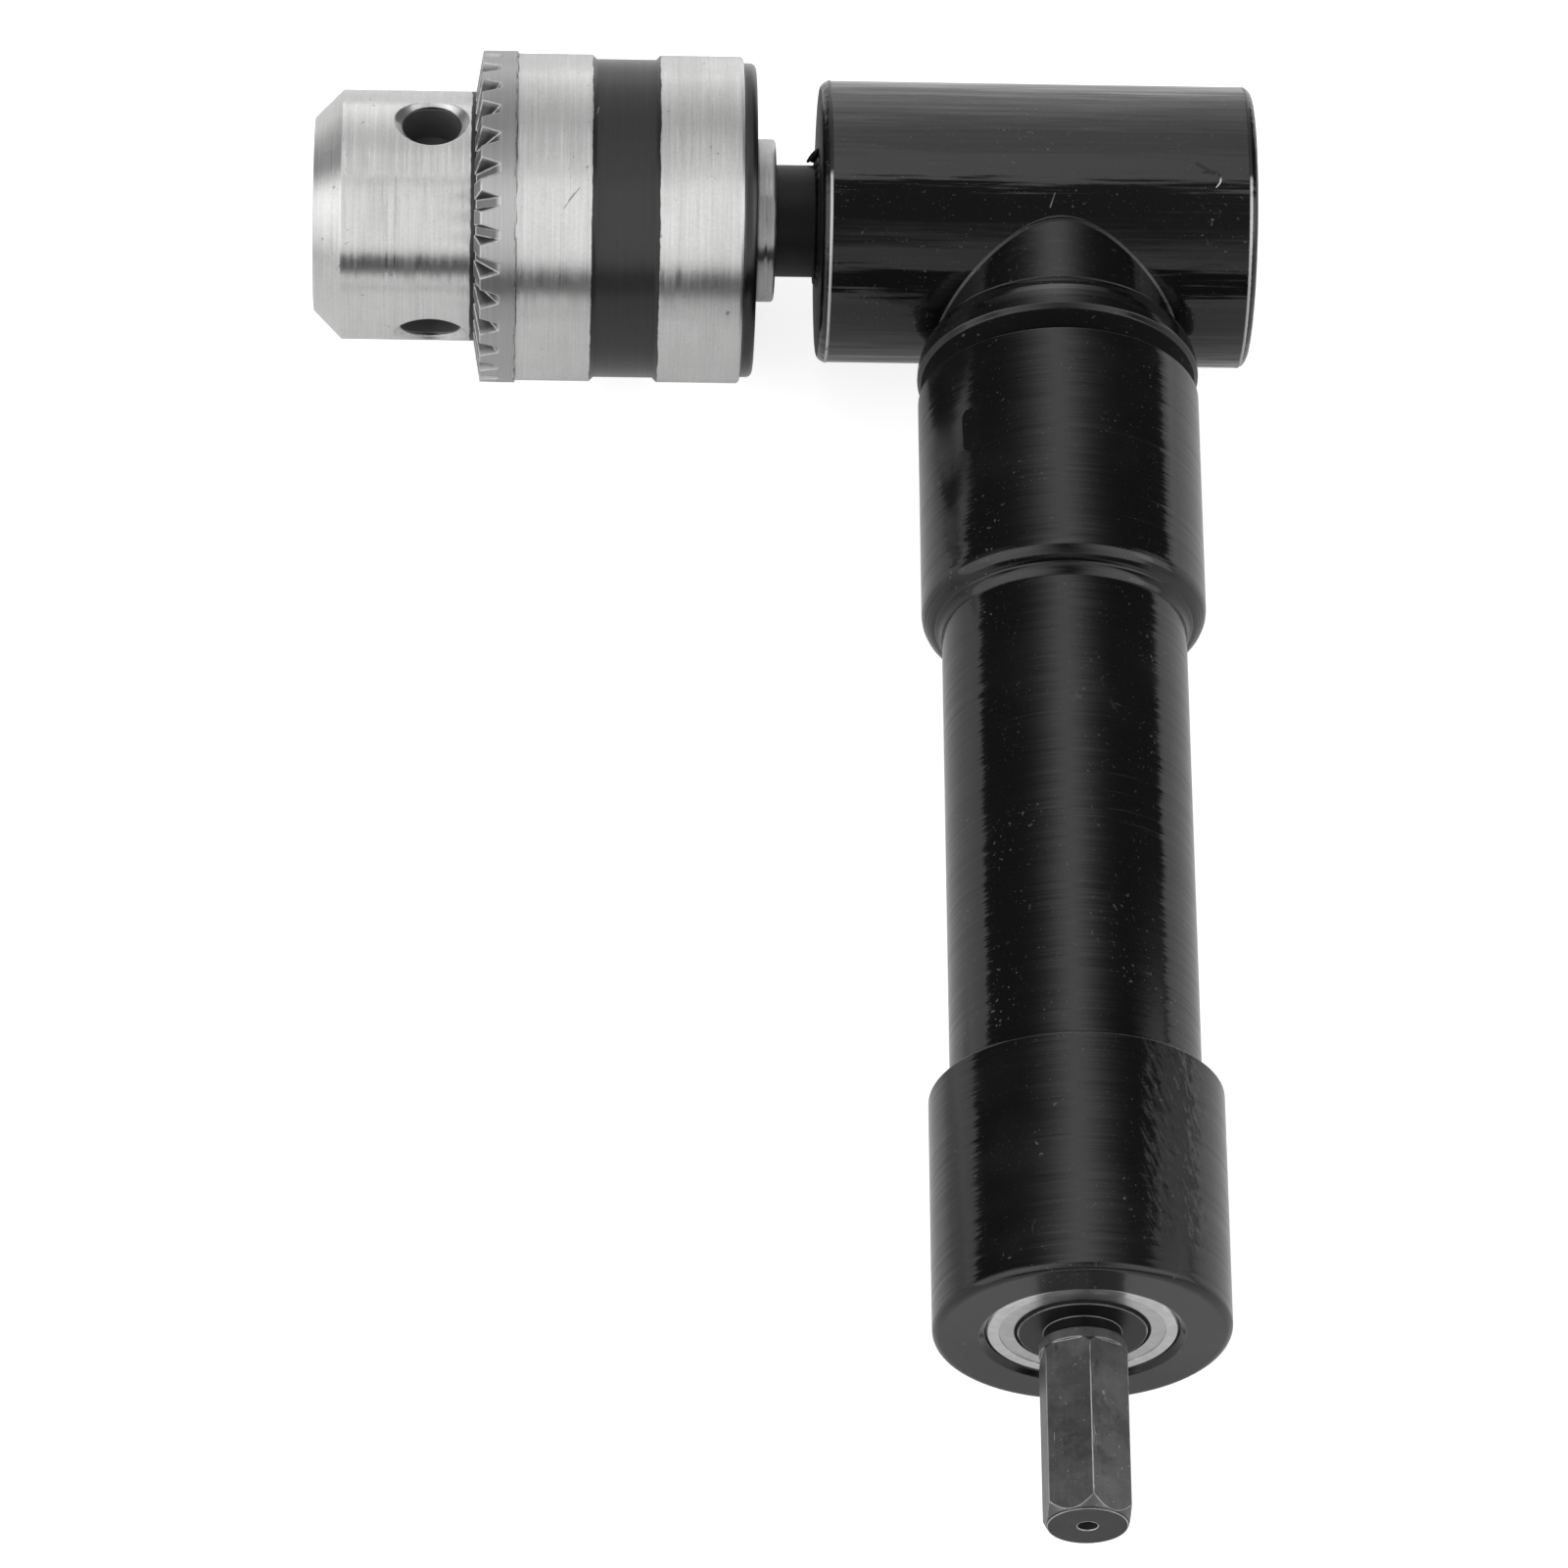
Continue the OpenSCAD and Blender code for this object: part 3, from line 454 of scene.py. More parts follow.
def tooth_gap_shade_and_burrs(n, pos, x, radius, edge, teeth, colour, gloss):
    """The colour and the roughness with painted shade in the gaps and white burrs on the toothed
    ring.
    """
    low, high, crest = teeth
    ring = n.band(x, low, high, TEETH_SOFT)
    # Painted shade: the gaps' walls are darkened below the teeth's crest
    wall = n.times(ring, n.ramp(radius, *(crest - depth for depth in WALL_DEPTH)))
    colour = n.mix(n.times(wall, GAP_SHADE_COVER), colour, grey(GAP_SHADE_TONE))
    burr = n.times(n.times(edge, ring), n.ramp(n.noise(pos, *BURR_NOISE), *BURR_RANGE))
    return n.mix(burr, colour, grey(BURR_TONE)), n.mixf(burr, gloss, BURR_ROUGH)


def chuck_hole_shade(n, x, radius):
    """A mask of the painted shade inside the key holes and the bore."""
    hole_shade = n.times(n.ramp(radius, *HOLES_RADIUS), n.band(x, *HOLES_X))
    mouth = n.times(n.ramp(radius, *MOUTH_RADIUS), n.band(x, *MOUTH_X))
    return n.math("MAXIMUM", hole_shade, mouth)


def chuck_steel(name, level, rough, lines, lean=0.2, zones=(), teeth=None, matte=None, marks=()):
    m, n = material(name)
    pos, xyz = n.coords()
    x, radius = xyz["X"], n.radius(xyz, "X")
    normal, edge = n.soft_edges(TOOTHED_EDGE_RADIUS if teeth else STEEL_EDGE_RADIUS)
    layer = n.layers(pos, STEEL_NOISE)
    fine, mid, blotch = layer["fine"], layer["mid"], layer["blotch"]
    mask = n.masks(layer, STEEL_RANGE)
    scratch = n.times(mask["scratch"], mask["scratch_areas"])
    nick = n.times(mask["nick"], mask["blotch"])
    shade = level
    for key, amount in STEEL_SHADE.items():
        shade = n.vary(shade, layer[key], amount)
    shade = n.plus(shade, n.times(scratch, SCRATCH_LIGHT))
    pits = n.plus(nick, mask["speck"], clamp=True)
    shade = n.minus(shade, n.times(pits, NICK_DARK), clamp=True)
    colour = n.mix(shade, grey(0.0), STEEL_WHITE)
    gloss = n.vary(rough, mid, MID_ROUGH)
    gloss = n.plus(gloss, n.times(nick, NICK_ROUGH), clamp=True)
    if zones:
        colour, gloss = steel_zones(n, pos, x, fine, zones, colour, gloss)
    if teeth:
        colour, gloss = tooth_gap_shade_and_burrs(n, pos, x, radius, edge, teeth, colour, gloss)
    else:
        colour = n.mix(n.times(edge, STEEL_EDGE_COVER), colour, grey(STEEL_EDGE_TONE))
    for start, end, width, tone in marks:
        line = n.stroke(pos, start, end, width)
        colour = n.mix(n.times(line, MARK_COVER), colour, grey(tone))
    height = n.plus(n.times(fine, 0.5), n.times(mid, 0.5))
    away = n.times(n.minus(mid, 0.5), lean)
    b = n.bump(height, lines, 1.0, n.tilt(n.around(xyz, "X"), away, normal))
    b = n.bump(n.plus(scratch, nick), *NICK_BUMP, b)
    # Painted shade: the insides of the key holes and the bore are dark and not metallic
    hole_shade = chuck_hole_shade(n, x, radius)
    colour = n.mix(hole_shade, colour, n.mix(blotch, *(grey(tone) for tone in HOLE_SHADE_TONES)))
    gloss = n.mixf(hole_shade, gloss, HOLE_ROUGH)
    metal = n.minus(1.0, hole_shade)
    if matte:
        dull_part = n.times(n.band(x, *matte, MATTE_SOFT), MATTE_COVER)
        metal = n.times(metal, n.minus(1.0, dull_part))
    p = n.finish(colour, gloss, b, metallic=metal,
                 Anisotropic=ALONG_LINES, Anisotropic_Rotation=LINE_TURN)
    t = n.add("ShaderNodeTangent", direction_type="RADIAL", axis="X")
    n.put(p.inputs["Tangent"], t.outputs[0])
    return m


# Dark oxidised steel with worn edges on the hex shank

SHANK_NOISE = {
    "blotch": (420, 5.0, 0.65),
    "wide": (130, 3.0),
    "fine": ([60, 3200, 60], 4.0, 0.6),
    "draw": ([1900, 90, 1900], 4.0, 0.6),
    "speck": (2600, 2.0),
    "glint": (4200, 1.0, 0.4),
    "dent": (900, 2.0, 0.5),
    "scratch": ([3400, 240, 1500], 3.0, 0.55, 0.5),
}
SHANK_RANGE = {
    "speck": (0.62, 0.75),
    "glint": (0.72, 0.77),
    "dent": (0.70, 0.74),
    "scratch": (0.67, 0.72),
}
SHANK_EDGE_RADIUS = 0.00020
# The oxide's two shades, and where the clouds turn from one to the other
OXIDE_DARK, OXIDE_PALE, OXIDE_RANGE = grey(0.12), grey(0.165, 1.02), (0.3, 0.7)
# Drawing marks along the shank
DRAWN_COVER, DRAWN_TONE = (0.45, 0.75, 0.0, 0.3), 0.2
# How much each mark covers the colour below it, and its tone
SHANK_MARKS = {
    "speck": (0.3, 0.28),
    "dent": (0.5, 0.03),
    "glint": (0.8, 0.5),
    "face": (0.95, 0.028),
}
# Where scratches, ragged edges and stains lie
SCRATCHED_WIDE, RAGGED_BLOTCH = (0.48, 0.6), (0.22, 0.5)
STAINED_WIDE, STAINED_BLOTCH = (0.52, 0.62), (0.4, 0.6)
# Dark stains: start, end and width of a stroke in mm
STAINS = (((-2.4, 7.3, 3.6), (-0.9, 7.9, 4.2), 0.8),
          ((0.6, 14.0, 4.0), (0.9, 15.5, 3.9), 0.5))
STAIN_NOISE, STAIN_RANGE = (2200, 3.0), (0.42, 0.5)
STAIN_COVER, STAIN_TONE = 0.6, 0.045
# Bright chips at the hex's edges
CHIPS = (((1.6, 12.6, 3.9), (1.9, 11.4, 3.8), 0.22),
         ((1.9, 6.6, 3.8), (2.3, 5.7, 3.6), 0.25))
CHIP_NOISE, CHIP_RANGE, CHIP_TONE = (4000, 2.0), (0.45, 0.5), 0.5
# The dark end face, the painted shade on the turned neck inside the bearing, and where the hex's
# worn edges fade
END_FACE_Y = (0.0001, 0.0003)
NECK_Y, NECK_SHADE_TONES = (0.0190, 0.0194), (0.008, 0.05)
WORN_END_Y, WORN_END_SHARE = (0.0165, 0.0175), 0.35
WORN_TONE, WORN_ROUGH = 0.9, 0.32
SHANK_ROUGH, BLOTCH_ROUGH = 0.40, 0.25
TURNED_BUMP, BLOTCH_BUMP, DENT_BUMP = (0.000015, 0.4), (0.00004, 0.35), (0.00006, -0.6)
SHANK_METAL = 0.8


def shank_metal(name):
    m, n = material(name)
    pos, xyz = n.coords()
    normal, edge = n.soft_edges(SHANK_EDGE_RADIUS)
    layer = n.layers(pos, SHANK_NOISE)
    blotch, wide = layer["blotch"], layer["wide"]
    mask = n.masks(layer, SHANK_RANGE)
    scratch = n.times(mask["scratch"], n.ramp(wide, *SCRATCHED_WIDE))
    ragged = n.times(edge, n.ramp(blotch, *RAGGED_BLOTCH))
    cover = {
        "speck": mask["speck"],
        "dent": mask["dent"],
        # The glint specks are painted highlights, laid in together with real bright scratches
        "glint": n.plus(mask["glint"], scratch, clamp=True),
        "face": n.ramp(xyz["Y"], *END_FACE_Y, 1.0, 0.0),
    }
    colour = n.mix(n.ramp(blotch, *OXIDE_RANGE), OXIDE_DARK, OXIDE_PALE)
    colour = n.mix(n.ramp(layer["draw"], *DRAWN_COVER), colour, grey(DRAWN_TONE))
    for key, (share, tone) in SHANK_MARKS.items():
        colour = n.mix(n.times(cover[key], share), colour, grey(tone))
    stain = n.times(n.ramp(wide, *STAINED_WIDE), n.ramp(blotch, *STAINED_BLOTCH))
    for start, end, width in STAINS:
        spot = n.stroke(pos, start, end, width)
        patchy = n.ramp(n.noise(pos, *STAIN_NOISE), *STAIN_RANGE)
        stain = n.math("MAXIMUM", stain, n.times(spot, patchy))
    colour = n.mix(n.times(stain, STAIN_COVER), colour, grey(STAIN_TONE))
    for start, end, width in CHIPS:
        spot = n.stroke(pos, start, end, width)
        spot = n.times(spot, n.ramp(n.noise(pos, *CHIP_NOISE), *CHIP_RANGE))
        colour = n.mix(spot, colour, grey(CHIP_TONE))
    # Painted shade on the neck down inside the bearing
    neck_shade = n.ramp(xyz["Y"], *NECK_Y)
    colour = n.mix(neck_shade, colour, n.mix(blotch, *(grey(tone) for tone in NECK_SHADE_TONES)))
    ragged = n.times(ragged, n.mixf(n.ramp(xyz["Y"], *WORN_END_Y), 1.0, WORN_END_SHARE))
    colour = n.mix(ragged, colour, grey(WORN_TONE))
    gloss = n.vary(SHANK_ROUGH, blotch, BLOTCH_ROUGH)
    gloss = n.mixf(ragged, gloss, WORN_ROUGH)
    b = n.bump(layer["fine"], *TURNED_BUMP, normal)
    b = n.bump(blotch, *BLOTCH_BUMP, b)
    b = n.bump(mask["dent"], *DENT_BUMP, b)
    n.finish(colour, gloss, b, metallic=SHANK_METAL)
    return m


# Plain metal for the bearings, gears and dark rings

PLAIN_EDGE_RADIUS = 0.0001
PLAIN_CLOUD = (900, 4.0, 0.6)
PLAIN_FINE = ([60, 2600, 60], 4.0, 0.6)
PLAIN_EDGE_COVER, PLAIN_EDGE_BRIGHTER = 0.4, 1.6
PLAIN_ROUGH = 0.2
PLAIN_FINE_BUMP, PLAIN_CLOUD_BUMP = (0.00001, 0.6), (0.00002, 0.3)


def plain_metal(name, level, rough):
    m, n = material(name)
    pos = n.coords()[0]
    normal, edge = n.soft_edges(PLAIN_EDGE_RADIUS)
    cloud = n.noise(pos, *PLAIN_CLOUD)
    fine = n.noise(pos, *PLAIN_FINE)
    colour = n.mix(cloud, *(grey(level * share) for share in SHADE_SHARES))
    bright = grey(min(1.0, level * PLAIN_EDGE_BRIGHTER))
    colour = n.mix(n.times(edge, PLAIN_EDGE_COVER), colour, bright)
    gloss = n.vary(rough, fine, PLAIN_ROUGH, clamp=True)
    b = n.bump(fine, *PLAIN_FINE_BUMP, normal)
    b = n.bump(cloud, *PLAIN_CLOUD_BUMP, b)
    n.finish(colour, gloss, b, metallic=1.0)
    return m


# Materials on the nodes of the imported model

def at_depth(d):
    """The X of a place d mm behind the nose face."""
    return NOSE_X + d * MM


# Scratches, chips and two dark lines of painted shadow beside the paint curl: start, end and
# width in mm, then the tone
HEAD_MARKS = [
    ((-0.8, 144.7, 13.65), (-1.3, 143.3, 13.1), 0.09, 0.14),
    # These two dark lines are painted shadow cast by the head's paint curl
    ((13.9, 148.0, 14.55), (15.6, 146.9, 14.35), 0.28, 0.002),
    ((14.6, 147.0, 14.4), (15.9, 147.1, 14.4), 0.2, 0.002),
    ((-23.5, 145.7, 13.95), (-8.0, 145.3, 13.85), 0.07, 0.05),
    ((-23.0, 145.1, 13.7), (-12.0, 144.9, 13.65), 0.06, 0.04),
    ((-4.0, 145.3, 13.85), (7.0, 145.0, 13.75), 0.06, 0.04),
    ((-22.4, 146.1, 14.1), (-5.0, 145.9, 14.05), 0.05, 0.05),
]
SLEEVE_MARKS = [
    ((-51.4, 141.2, 14.6), (-49.8, 143.1, 15.6), 0.07, 0.22),
    ((-50.9, 141.9, 15.0), (-50.3, 142.6, 15.4), 0.11, 0.25),
    ((-39.4, 133.1, -0.5), (-38.5, 133.5, -3.9), 0.09, 0.3),
    ((-47.9, 152.6, 16.4), (-48.3, 150.5, 16.6), 0.08, 0.3),
]
# Sags in the paint: start, end and width in mm, then how far the surface leans there
COLLAR_SAGS = [
    ((-10.0, 119.2, 10.5), (-9.9, 116.0, 10.6), 1.2, 0.2),
    ((-9.6, 115.4, 10.87), (-9.1, 110.8, 11.3), 0.45, 0.15),
]
# The head's front face begins here
FRONT_FACE_X = round(head_low.x + FACE_SOFT, DIGITS)
# Zones of the chuck: from, to, tone and roughness
BODY_ZONES = [
    # A painted shadow line where the nose meets the sleeve's front
    (at_depth(16.3), at_depth(17.2), 0.10, 0.5),
    (at_depth(44.45), at_depth(47.0), 0.06, 0.3),
]
GROOVE = (at_depth(28.8), at_depth(35.85))
SLEEVE_ZONES = [
    (at_depth(16.0), at_depth(21.0), 0.50, 0.45),
    (at_depth(20.92), at_depth(21.10), 0.15, 0.5),
    (*GROOVE, 0.040, 0.36),
]
# The toothed ring: from, to and the teeth's outer radius
TEETH = (at_depth(16.0), at_depth(21.05), 0.0173)

paint_handle = black_paint("black_paint_handle", "Y")
paint_head = black_paint("black_paint_head", "X", level=0.0038, rough=0.10, lean=0.35,
                         dull_below=FRONT_FACE_X, marks=HEAD_MARKS)
paint_collar = black_paint("black_paint_collar", "Y", sags=COLLAR_SAGS)
paint_brushed = black_paint("black_paint_brushed", "Y", brushed=True)
paint_neck = black_paint("black_paint_neck", "X", level=0.004, rough=0.42, lean=0.1,
                         gloss_level=0.28)
# A dark dull paint for rings of painted shade in recesses and gaps
recess_shade_paint = black_paint("black_recess_shade", "Y", level=0.003, rough=0.6, lean=0.05,
                           gloss_level=0.06)
turned = chuck_steel("turned_steel", level=0.69, rough=0.31, lines=0.00004, lean=0.08,
                     zones=BODY_ZONES)
ground = chuck_steel("ground_steel", level=0.695, rough=0.38, lines=0.00002, lean=0.08,
                     zones=SLEEVE_ZONES, teeth=TEETH, matte=GROOVE, marks=SLEEVE_MARKS)
washer_steel = chuck_steel("washer_steel", level=0.5, rough=0.3, lines=0.00002)
shank = shank_metal("shank_oxide")
bearing = plain_metal("bearing_steel", 0.6, 0.22)
shield = plain_metal("shield_steel", 0.5, 0.3)
oxide = plain_metal("black_oxide", 0.05, 0.32)
gear = plain_metal("gear_steel", 0.42, 0.3)

by_node = {
    "head_housing": paint_head,
    "rear_cap": paint_head,
    "neck_ring": paint_handle,
    "upper_collar": paint_collar,
    "grip_tube": paint_handle,
    "lower_collar": paint_brushed,
    "output_spindle": paint_neck,
    "input_shaft": shank,
    "chuck_body": turned,
    "chuck_sleeve": ground,
    "spindle_washer": washer_steel,
}
by_slot = {
    "bearing_steel": bearing,
    "black_oxide": oxide,
    "gear_steel": gear,
}
slots = {s["node"]: s["material_slot"] for s in frame["record"]["subparts"]}
for node, obj in frame["nodes"].items():
    chosen = by_node.get(node) or by_slot[slots[node]]
    if node.endswith("_shields"):
        chosen = shield
    obj.data.materials.clear()
    obj.data.materials.append(chosen)


# Thin painted pieces over the joints of the solids

def add_piece(name, verts, faces, mat, levels=0):
    mesh = bpy.data.meshes.new(name)
    mesh.from_pydata(verts, [], faces)
    mesh.update()
    bm = bmesh.new()
    bm.from_mesh(mesh)
    bmesh.ops.recalc_face_normals(bm, faces=bm.faces)
    bm.to_mesh(mesh)
    bm.free()
    for f in mesh.polygons:
        f.use_smooth = True
    obj = bpy.data.objects.new(name, mesh)
    bpy.context.scene.collection.objects.link(obj)
    if levels:
        sub = obj.modifiers.new("smooth", "SUBSURF")
        sub.levels = sub.render_levels = levels
    mesh.materials.append(mat)
    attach(obj, "housing")


def loft(rows, closed=True):
    """Loops of points joined row to row, and the last to the first where it is closed."""
    count, verts, faces = len(rows[0]), [], []
    for row in rows:
        verts += row
    for i in range(len(rows) if closed else len(rows) - 1):
        for j in range(count):
            k = (j + 1) % count
            here, there = i * count, (i + 1) % len(rows) * count
            faces.append((here + j, here + k, there + k, there + j))
    return verts, faces


# The waves of a ragged ring: how many round it, and where each begins
RAGGED_WAVES = ((5, 0.0), (13, 1.3), (31, 0.4))


def ring_piece(name, axis, section, mat, turns=144, wobble=0.0):
    """A ring turned from (radius, place) pairs in mm.

    The place is a height on the handle axis (Y), or an X on the spindle axis (X).
    """
    rows = []
    for radius, place in section:
        row = []
        for j in range(turns):
            a = 2 * math.pi * j / turns
            waves = sum(math.sin(count * a + start) for count, start in RAGGED_WAVES)
            r = (radius + wobble * waves / len(RAGGED_WAVES)) * MM
            if axis == "Y":
                row.append(Vector((r * math.cos(a), place * MM, r * math.sin(a))))
            else:
                row.append(Vector((place * MM, CROSS.y + r * math.cos(a), r * math.sin(a))))
        rows.append(row)
    verts, faces = loft(rows)
    add_piece(name, verts, faces, mat)


def under_top(section):
    """Depths under the spindle axis as heights."""
    return [(radius, TOP - depth) for radius, depth in section]


# Radii in mm of the head's barrel and of the round branch under it
HEAD_R, BRANCH_R = round(head_high.z, DIGITS) / MM, 12.5
SADDLE_WIDTH = 0.2
SADDLE_TURNS = 160
SADDLE_STEPS = 5
# The fillet's leg down the branch, as a share of its width
SADDLE_LEG = 1.1
# The hidden side of the fillet: its share of the branch's radius, and how deep it is sunk
SADDLE_INSIDE, SADDLE_SUNK = 0.98, 0.4
# Keeps the square root above zero at the barrel's edge
LEAST_SQUARE = 0.01


def on_head(r, a, sink=0.0):
    """The point on the barrel's underside, r mm out from the handle axis at the angle a."""
    z = r * math.sin(a)
    y = math.sqrt(max((HEAD_R - sink) ** 2 - z * z, LEAST_SQUARE))
    return Vector((r * math.cos(a) * MM, CROSS.y - y * MM, z * MM))


def fillet_curve(a, corner, b, steps):
    """A concave curve from a to b that bends towards the corner."""
    out = []
    for i in range(steps + 1):
        t = i / steps
        out.append(a * (1 - t) ** 2 + corner * 2 * t * (1 - t) + b * t * t)
    return out


def saddle_fillet(name, mat):
    """The paint that fills the corner where the round branch meets the round head."""
    sections = []
    for j in range(SADDLE_TURNS):
        a = 2 * math.pi * j / SADDLE_TURNS
        corner = on_head(BRANCH_R, a)
        high = on_head(BRANCH_R + SADDLE_WIDTH, a)
        low = Vector((corner.x, corner.y - SADDLE_WIDTH * SADDLE_LEG * MM, corner.z))
        inside = Vector((low.x * SADDLE_INSIDE, low.y, low.z * SADDLE_INSIDE))
        deep = on_head(BRANCH_R * SADDLE_INSIDE, a, SADDLE_SUNK)
        sections.append(fillet_curve(high, corner, low, SADDLE_STEPS) + [inside, deep])
    verts, faces = loft([list(row) for row in zip(*sections)])
    add_piece(name, verts, faces, mat)


saddle_fillet("branch_fillet", paint_handle)
ring_piece("branch_seam", "Y", under_top([
    (12.4, 14.75), (12.6, 14.8), (12.66, 14.9), (12.6, 15.0), (12.4, 15.05)]), paint_handle)
# A dark dull ring of painted shade in the undercut under the neck ring's flange
ring_piece("neck_recess_shade", "Y", under_top([
    (13.2, 19.78), (14.12, 19.82), (14.17, 19.9), (14.14, 19.98), (13.99, 20.36),
    (13.70, 21.12), (13.55, 21.51), (13.4, 21.98), (13.2, 22.04)]), recess_shade_paint)
ring_piece("neck_burr", "X", [
    (6.35, -24.6), (7.0, -24.72), (6.75, -24.95), (6.42, -25.2), (6.3, -25.0)],
    paint_neck, turns=180, wobble=0.16)
ring_piece("upper_rim_fillet", "Y", under_top([
    (12.3, 49.3), (13.35, 49.5), (12.98, 49.72), (12.70, 50.0), (12.53, 50.4),
    (12.46, 50.8), (12.3, 50.8)]), paint_handle)
ring_piece("lower_rim_fillet", "Y", under_top([
    (12.3, 103.9), (12.95, 103.78), (12.7, 103.6), (12.53, 103.4), (12.46, 103.1),
    (12.3, 103.1)]), paint_handle)


# Paint worn to bare metal on the lower side of the head's rims, also a painted highlight along
# the rims

# The height over which the wear and the painted highlight begin, and how far the patches move it
WEAR_AND_HIGHLIGHT_Y = (0.1478, 0.1470)
WEAR_WANDER = 0.002
WEAR_NOISE, WEAR_AND_HIGHLIGHT_RANGE = (520, 4.0, 0.6), (0.22, 0.42)
WEAR_AND_HIGHLIGHT_TONES = (0.012, 0.55)
WEAR_ROUGH = (0.3, 0.45)
WEAR_BUMP = (0.00004, 0.5)
WEAR_METAL = 0.5


def rim_wear_and_highlight(name):
    m, n = material(name)
    pos, xyz = n.coords()
    patchy = n.noise(pos, *WEAR_NOISE)
    low = n.ramp(n.plus(xyz["Y"], n.times(patchy, WEAR_WANDER)), *WEAR_AND_HIGHLIGHT_Y)
    wear_and_highlight = n.times(low, n.ramp(patchy, *WEAR_AND_HIGHLIGHT_RANGE))
    colour = n.mix(wear_and_highlight, *(grey(tone) for tone in WEAR_AND_HIGHLIGHT_TONES))
    n.finish(colour, n.mixf(wear_and_highlight, *WEAR_ROUGH), n.bump(patchy, *WEAR_BUMP, None),
             metallic=n.times(wear_and_highlight, WEAR_METAL))
    return m


rim = rim_wear_and_highlight("rim_wear_and_highlight_paint")
ring_piece("front_rim_wear_and_highlight", "X", [
    (14.55, -24.0), (14.72, -23.95), (14.76, -23.8), (14.74, -23.66), (14.55, -23.62)], rim)
ring_piece("rear_rim_wear_and_highlight", "X", [
    (14.3, 19.85), (14.58, 19.72), (14.7, 19.55), (14.72, 19.38), (14.5, 19.3)], rim)

# A dark ring of painted shade in the gap of the shank bearing
ring_piece("shank_gap_shade", "Y", [
    (6.30, 20.79), (6.30, 20.70), (6.46, 20.66), (6.62, 20.70), (6.66, 20.79)], recess_shade_paint)


# Little curls and burrs of paint

CURL_STEPS = 4
CURL_SIDES = 8
CURL_LEVELS = 1
# The thickness at the ends, and what the middle has more
CURL_TIP, CURL_MIDDLE = 0.35, 0.65
# Any direction that no curl runs along
ASLANT = Vector((0.31, 0.52, 0.79))


def curl(name, points, radius, mat):
    """A thin tapered thread through the points, in mm."""
    knots = [Vector(p) * MM for p in points]
    path = []
    for start, end in zip(knots, knots[1:]):
        path += [start.lerp(end, k / CURL_STEPS) for k in range(CURL_STEPS)]
    path.append(knots[-1])
    last = len(path) - 1
    rows = []
    for i, p in enumerate(path):
        forward = (path[min(i + 1, last)] - path[max(i - 1, 0)]).normalized()
        side = forward.cross(ASLANT).normalized()
        up = forward.cross(side)
        r = radius * MM * (CURL_TIP + CURL_MIDDLE * math.sin(math.pi * (i + 0.5) / len(path)))
        angles = [2 * math.pi * j / CURL_SIDES for j in range(CURL_SIDES)]
        rows.append([p + side * r * math.cos(a) + up * r * math.sin(a) for a in angles])
    verts, faces = loft(rows, closed=False)
    faces.append(tuple(range(CURL_SIDES))[::-1])
    faces.append(tuple(range(last * CURL_SIDES, len(path) * CURL_SIDES)))
    add_piece(name, verts, faces, mat, CURL_LEVELS)


curl("head_curl", [
    (16.1, 146.95, 14.42), (16.35, 146.5, 14.40), (16.25, 145.9, 14.22), (15.8, 145.35, 14.02)],
    0.13, rim)
curl("neck_burr_a", [(-24.7, 156.6, 3.9), (-25.3, 155.95, 3.5), (-25.95, 155.3, 3.1)],
     0.30, paint_neck)
curl("neck_burr_b", [(-24.7, 156.1, 4.6), (-25.15, 155.55, 4.2), (-25.6, 155.0, 3.85)],
     0.28, paint_neck)
curl("neck_burr_c", [(-24.7, 156.9, 3.1), (-25.1, 156.2, 2.9), (-25.5, 155.6, 2.7)],
     0.26, paint_neck)
curl("neck_burr_d", [(-24.65, 155.75, 3.4), (-25.1, 155.55, 3.3), (-25.6, 155.4, 3.2)],
     0.32, paint_neck)


# White floor

FLOOR_HALF, FLOOR_STEPS = 3.0, 12
FLOOR_TONES, FLOOR_CLOUD = (0.62, 0.64), 3.0
FLOOR_SEEN = 0.80
# The floor's brightness in reflections: the axis it changes along, from where to where,
# and from what to what
GLOW_BEHIND = ("Y", 0.17, 0.23, 0.0, 0.35)
GLOW_FAR = ("Y", 0.3, 0.9, 1.0, 0.45)
GLOW_BEHIND_CHUCK = ("X", -0.045, -0.015, 0.2, 1.0)
GLOW_AHEAD = ("Y", -0.9, -0.1, 0.05, 0.28)
GLOW_BY_CHUCK = ("X", -0.045, -0.015, 0.75, 1.0)
GLOW_RIGHT = ("X", 0.03, 0.35, 1.0, 0.3)
# A dark strip in front of the chuck
STRIP_Y, STRIP_X = (0.045, 0.075, 0.008), ("X", -0.035, -0.05)


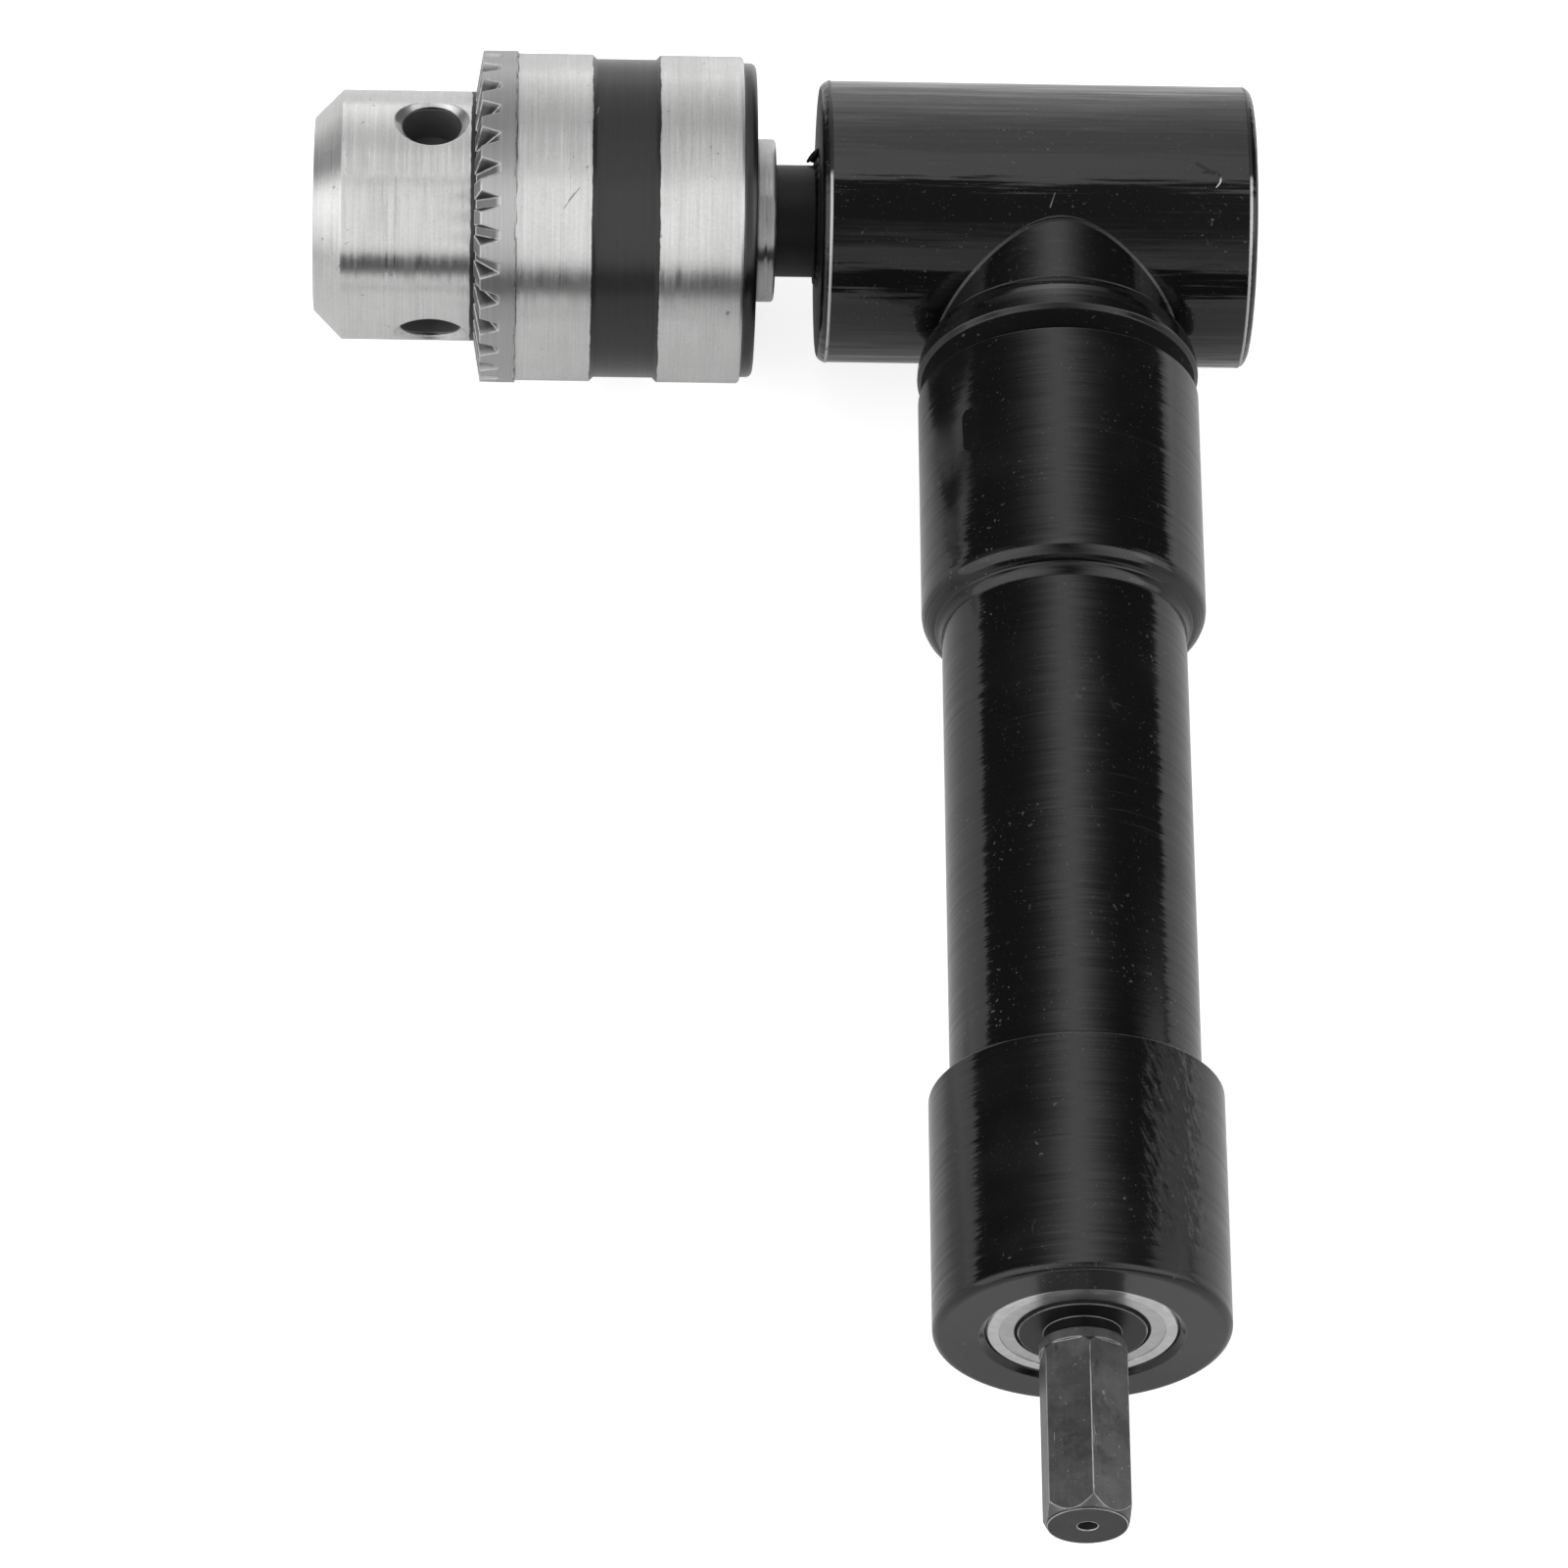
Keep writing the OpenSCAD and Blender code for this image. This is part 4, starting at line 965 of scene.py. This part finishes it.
def make_floor():
    bm = bmesh.new()
    places = [FLOOR_HALF * (2 * i / FLOOR_STEPS - 1) for i in range(FLOOR_STEPS + 1)]
    grid = [[bm.verts.new((x, y, FLOOR_Z)) for y in places] for x in places]
    for i in range(FLOOR_STEPS):
        for j in range(FLOOR_STEPS):
            bm.faces.new((grid[i][j], grid[i + 1][j], grid[i + 1][j + 1], grid[i][j + 1]))
    mesh = bpy.data.meshes.new("floor")
    bm.to_mesh(mesh)
    bm.free()
    obj = bpy.data.objects.new("floor", mesh)
    bpy.context.scene.collection.objects.link(obj)
    m, n = material("floor_white")
    path = n.add("ShaderNodeLightPath")
    seen = n.math("MAXIMUM", path.outputs["Is Camera Ray"], path.outputs["Is Transmission Ray"])
    pos, xyz = n.coords()

    def change(axis, *ends):
        return n.ramp(xyz[axis], *ends)

    glow = n.times(change(*GLOW_BEHIND), change(*GLOW_FAR))
    glow = n.times(glow, change(*GLOW_BEHIND_CHUCK))
    glow = n.plus(glow, change(*GLOW_AHEAD))
    glow = n.times(glow, change(*GLOW_BY_CHUCK))
    glow = n.times(glow, change(*GLOW_RIGHT))
    strip = n.times(n.band(xyz["Y"], *STRIP_Y), change(*STRIP_X))
    glow = n.times(glow, n.minus(1.0, strip))
    light = n.plus(n.times(seen, FLOOR_SEEN), n.times(path.outputs["Is Glossy Ray"], glow))
    diffuse = n.add("ShaderNodeBsdfDiffuse")
    cloud = n.noise(pos, FLOOR_CLOUD)
    n.put(diffuse.inputs["Color"], n.mix(cloud, *(grey(tone) for tone in FLOOR_TONES)))
    emit = n.add("ShaderNodeEmission")
    emit.inputs["Color"].default_value = grey(1.0)
    n.put(emit.inputs["Strength"], light)
    both = n.add("ShaderNodeAddShader")
    n.put(both.inputs[0], diffuse.outputs[0])
    n.put(both.inputs[1], emit.outputs[0])
    out = n.add("ShaderNodeOutputMaterial")
    n.put(out.inputs[0], both.outputs[0])
    mesh.materials.append(m)


make_floor()


# A low card of light beside the shank end

CARD_SIZE = (0.22, 0.20)
CARD_ENERGY = 0.10
CARD_PLACE = Vector((0.32, 0.11, 0.12))
CARD_AIM = Vector((0, 0.03, 0))


def make_lamp():
    data = bpy.data.lights.new("side_card", "AREA")
    data.shape = "RECTANGLE"
    data.size, data.size_y = CARD_SIZE
    data.energy = CARD_ENERGY
    lamp = bpy.data.objects.new("side_card", data)
    lamp.location = CARD_PLACE
    lamp.rotation_euler = (CARD_AIM - CARD_PLACE).to_track_quat("-Z", "Y").to_euler()
    bpy.context.scene.collection.objects.link(lamp)


make_lamp()


# Soft light from all round: a light behind the part, a pale wall behind it, a light in front
# with a dark middle, and a white card on the left and on the right

AMBIENT = 0.05
# Centre and width along X of each soft hump
BACK_HUMP, WALL_HUMP, DARK_HUMP = (-0.06, 0.22), (0.0, 0.10), (0.03, 0.24)
BACK_Y, BACK_NEAR = (-0.05, 0.08), (0.35, 0.55, 1.3, 1.0)
WALL_Y = (0.72, 0.95)
FRONT_Y, FRONT_Z, FRONT_LOW = (0.12, -0.06), (0.24, 0.36), (-0.8, -0.5, 0.95, 1.12)
DARK_Y, DARK_SHARE = (-1.4, -0.5), 0.97
LEFT_X, RIGHT_X, SIDE_Y = (-0.5, -0.8), (0.6, 0.9), (0.42, 0.05)
BACK_LIGHT, WALL_LIGHT, FRONT_LIGHT, LEFT_LIGHT, RIGHT_LIGHT = 1.2, 0.4, 1.55, 1.5, 0.7


def make_world():
    world = bpy.data.worlds.new("studio")
    world.use_nodes = True
    bpy.context.scene.world = world
    n = Nodes(world.node_tree)
    tc = n.add("ShaderNodeTexCoord")
    sep = n.add("ShaderNodeSeparateXYZ")
    n.put(sep.inputs[0], tc.outputs["Generated"])
    x, y, z = sep.outputs

    def hump(centre, width):
        off = n.minus(x, centre)
        return n.math("POWER", math.e, n.times(n.times(off, off), -0.5 / width ** 2))

    back = n.times(hump(*BACK_HUMP), n.ramp(y, *BACK_Y))
    back = n.times(back, n.ramp(y, *BACK_NEAR))
    wall = n.times(hump(*WALL_HUMP), n.ramp(y, *WALL_Y))
    front = n.times(n.ramp(y, *FRONT_Y), n.ramp(z, *FRONT_Z))
    dark = n.times(n.times(hump(*DARK_HUMP), DARK_SHARE), n.ramp(y, *DARK_Y))
    front = n.times(front, n.minus(1.0, dark))
    front = n.times(front, n.ramp(y, *FRONT_LOW))
    left = n.times(n.ramp(x, *LEFT_X), n.ramp(y, *SIDE_Y))
    right = n.times(n.ramp(x, *RIGHT_X), n.ramp(y, *SIDE_Y))
    level = n.plus(AMBIENT, n.times(back, BACK_LIGHT))
    level = n.plus(level, n.times(wall, WALL_LIGHT))
    level = n.plus(level, n.times(front, FRONT_LIGHT))
    level = n.math("MAXIMUM", level, n.times(left, LEFT_LIGHT))
    level = n.math("MAXIMUM", level, n.times(right, RIGHT_LIGHT))
    path = n.add("ShaderNodeLightPath")
    bg = n.add("ShaderNodeBackground")
    bg.inputs["Color"].default_value = grey(1.0)
    n.put(bg.inputs["Strength"], n.mixf(path.outputs["Is Camera Ray"], level, 1.0))
    out = n.add("ShaderNodeOutputWorld")
    n.put(out.inputs[0], bg.outputs[0])


make_world()
bpy.context.scene.view_settings.view_transform = "Standard"
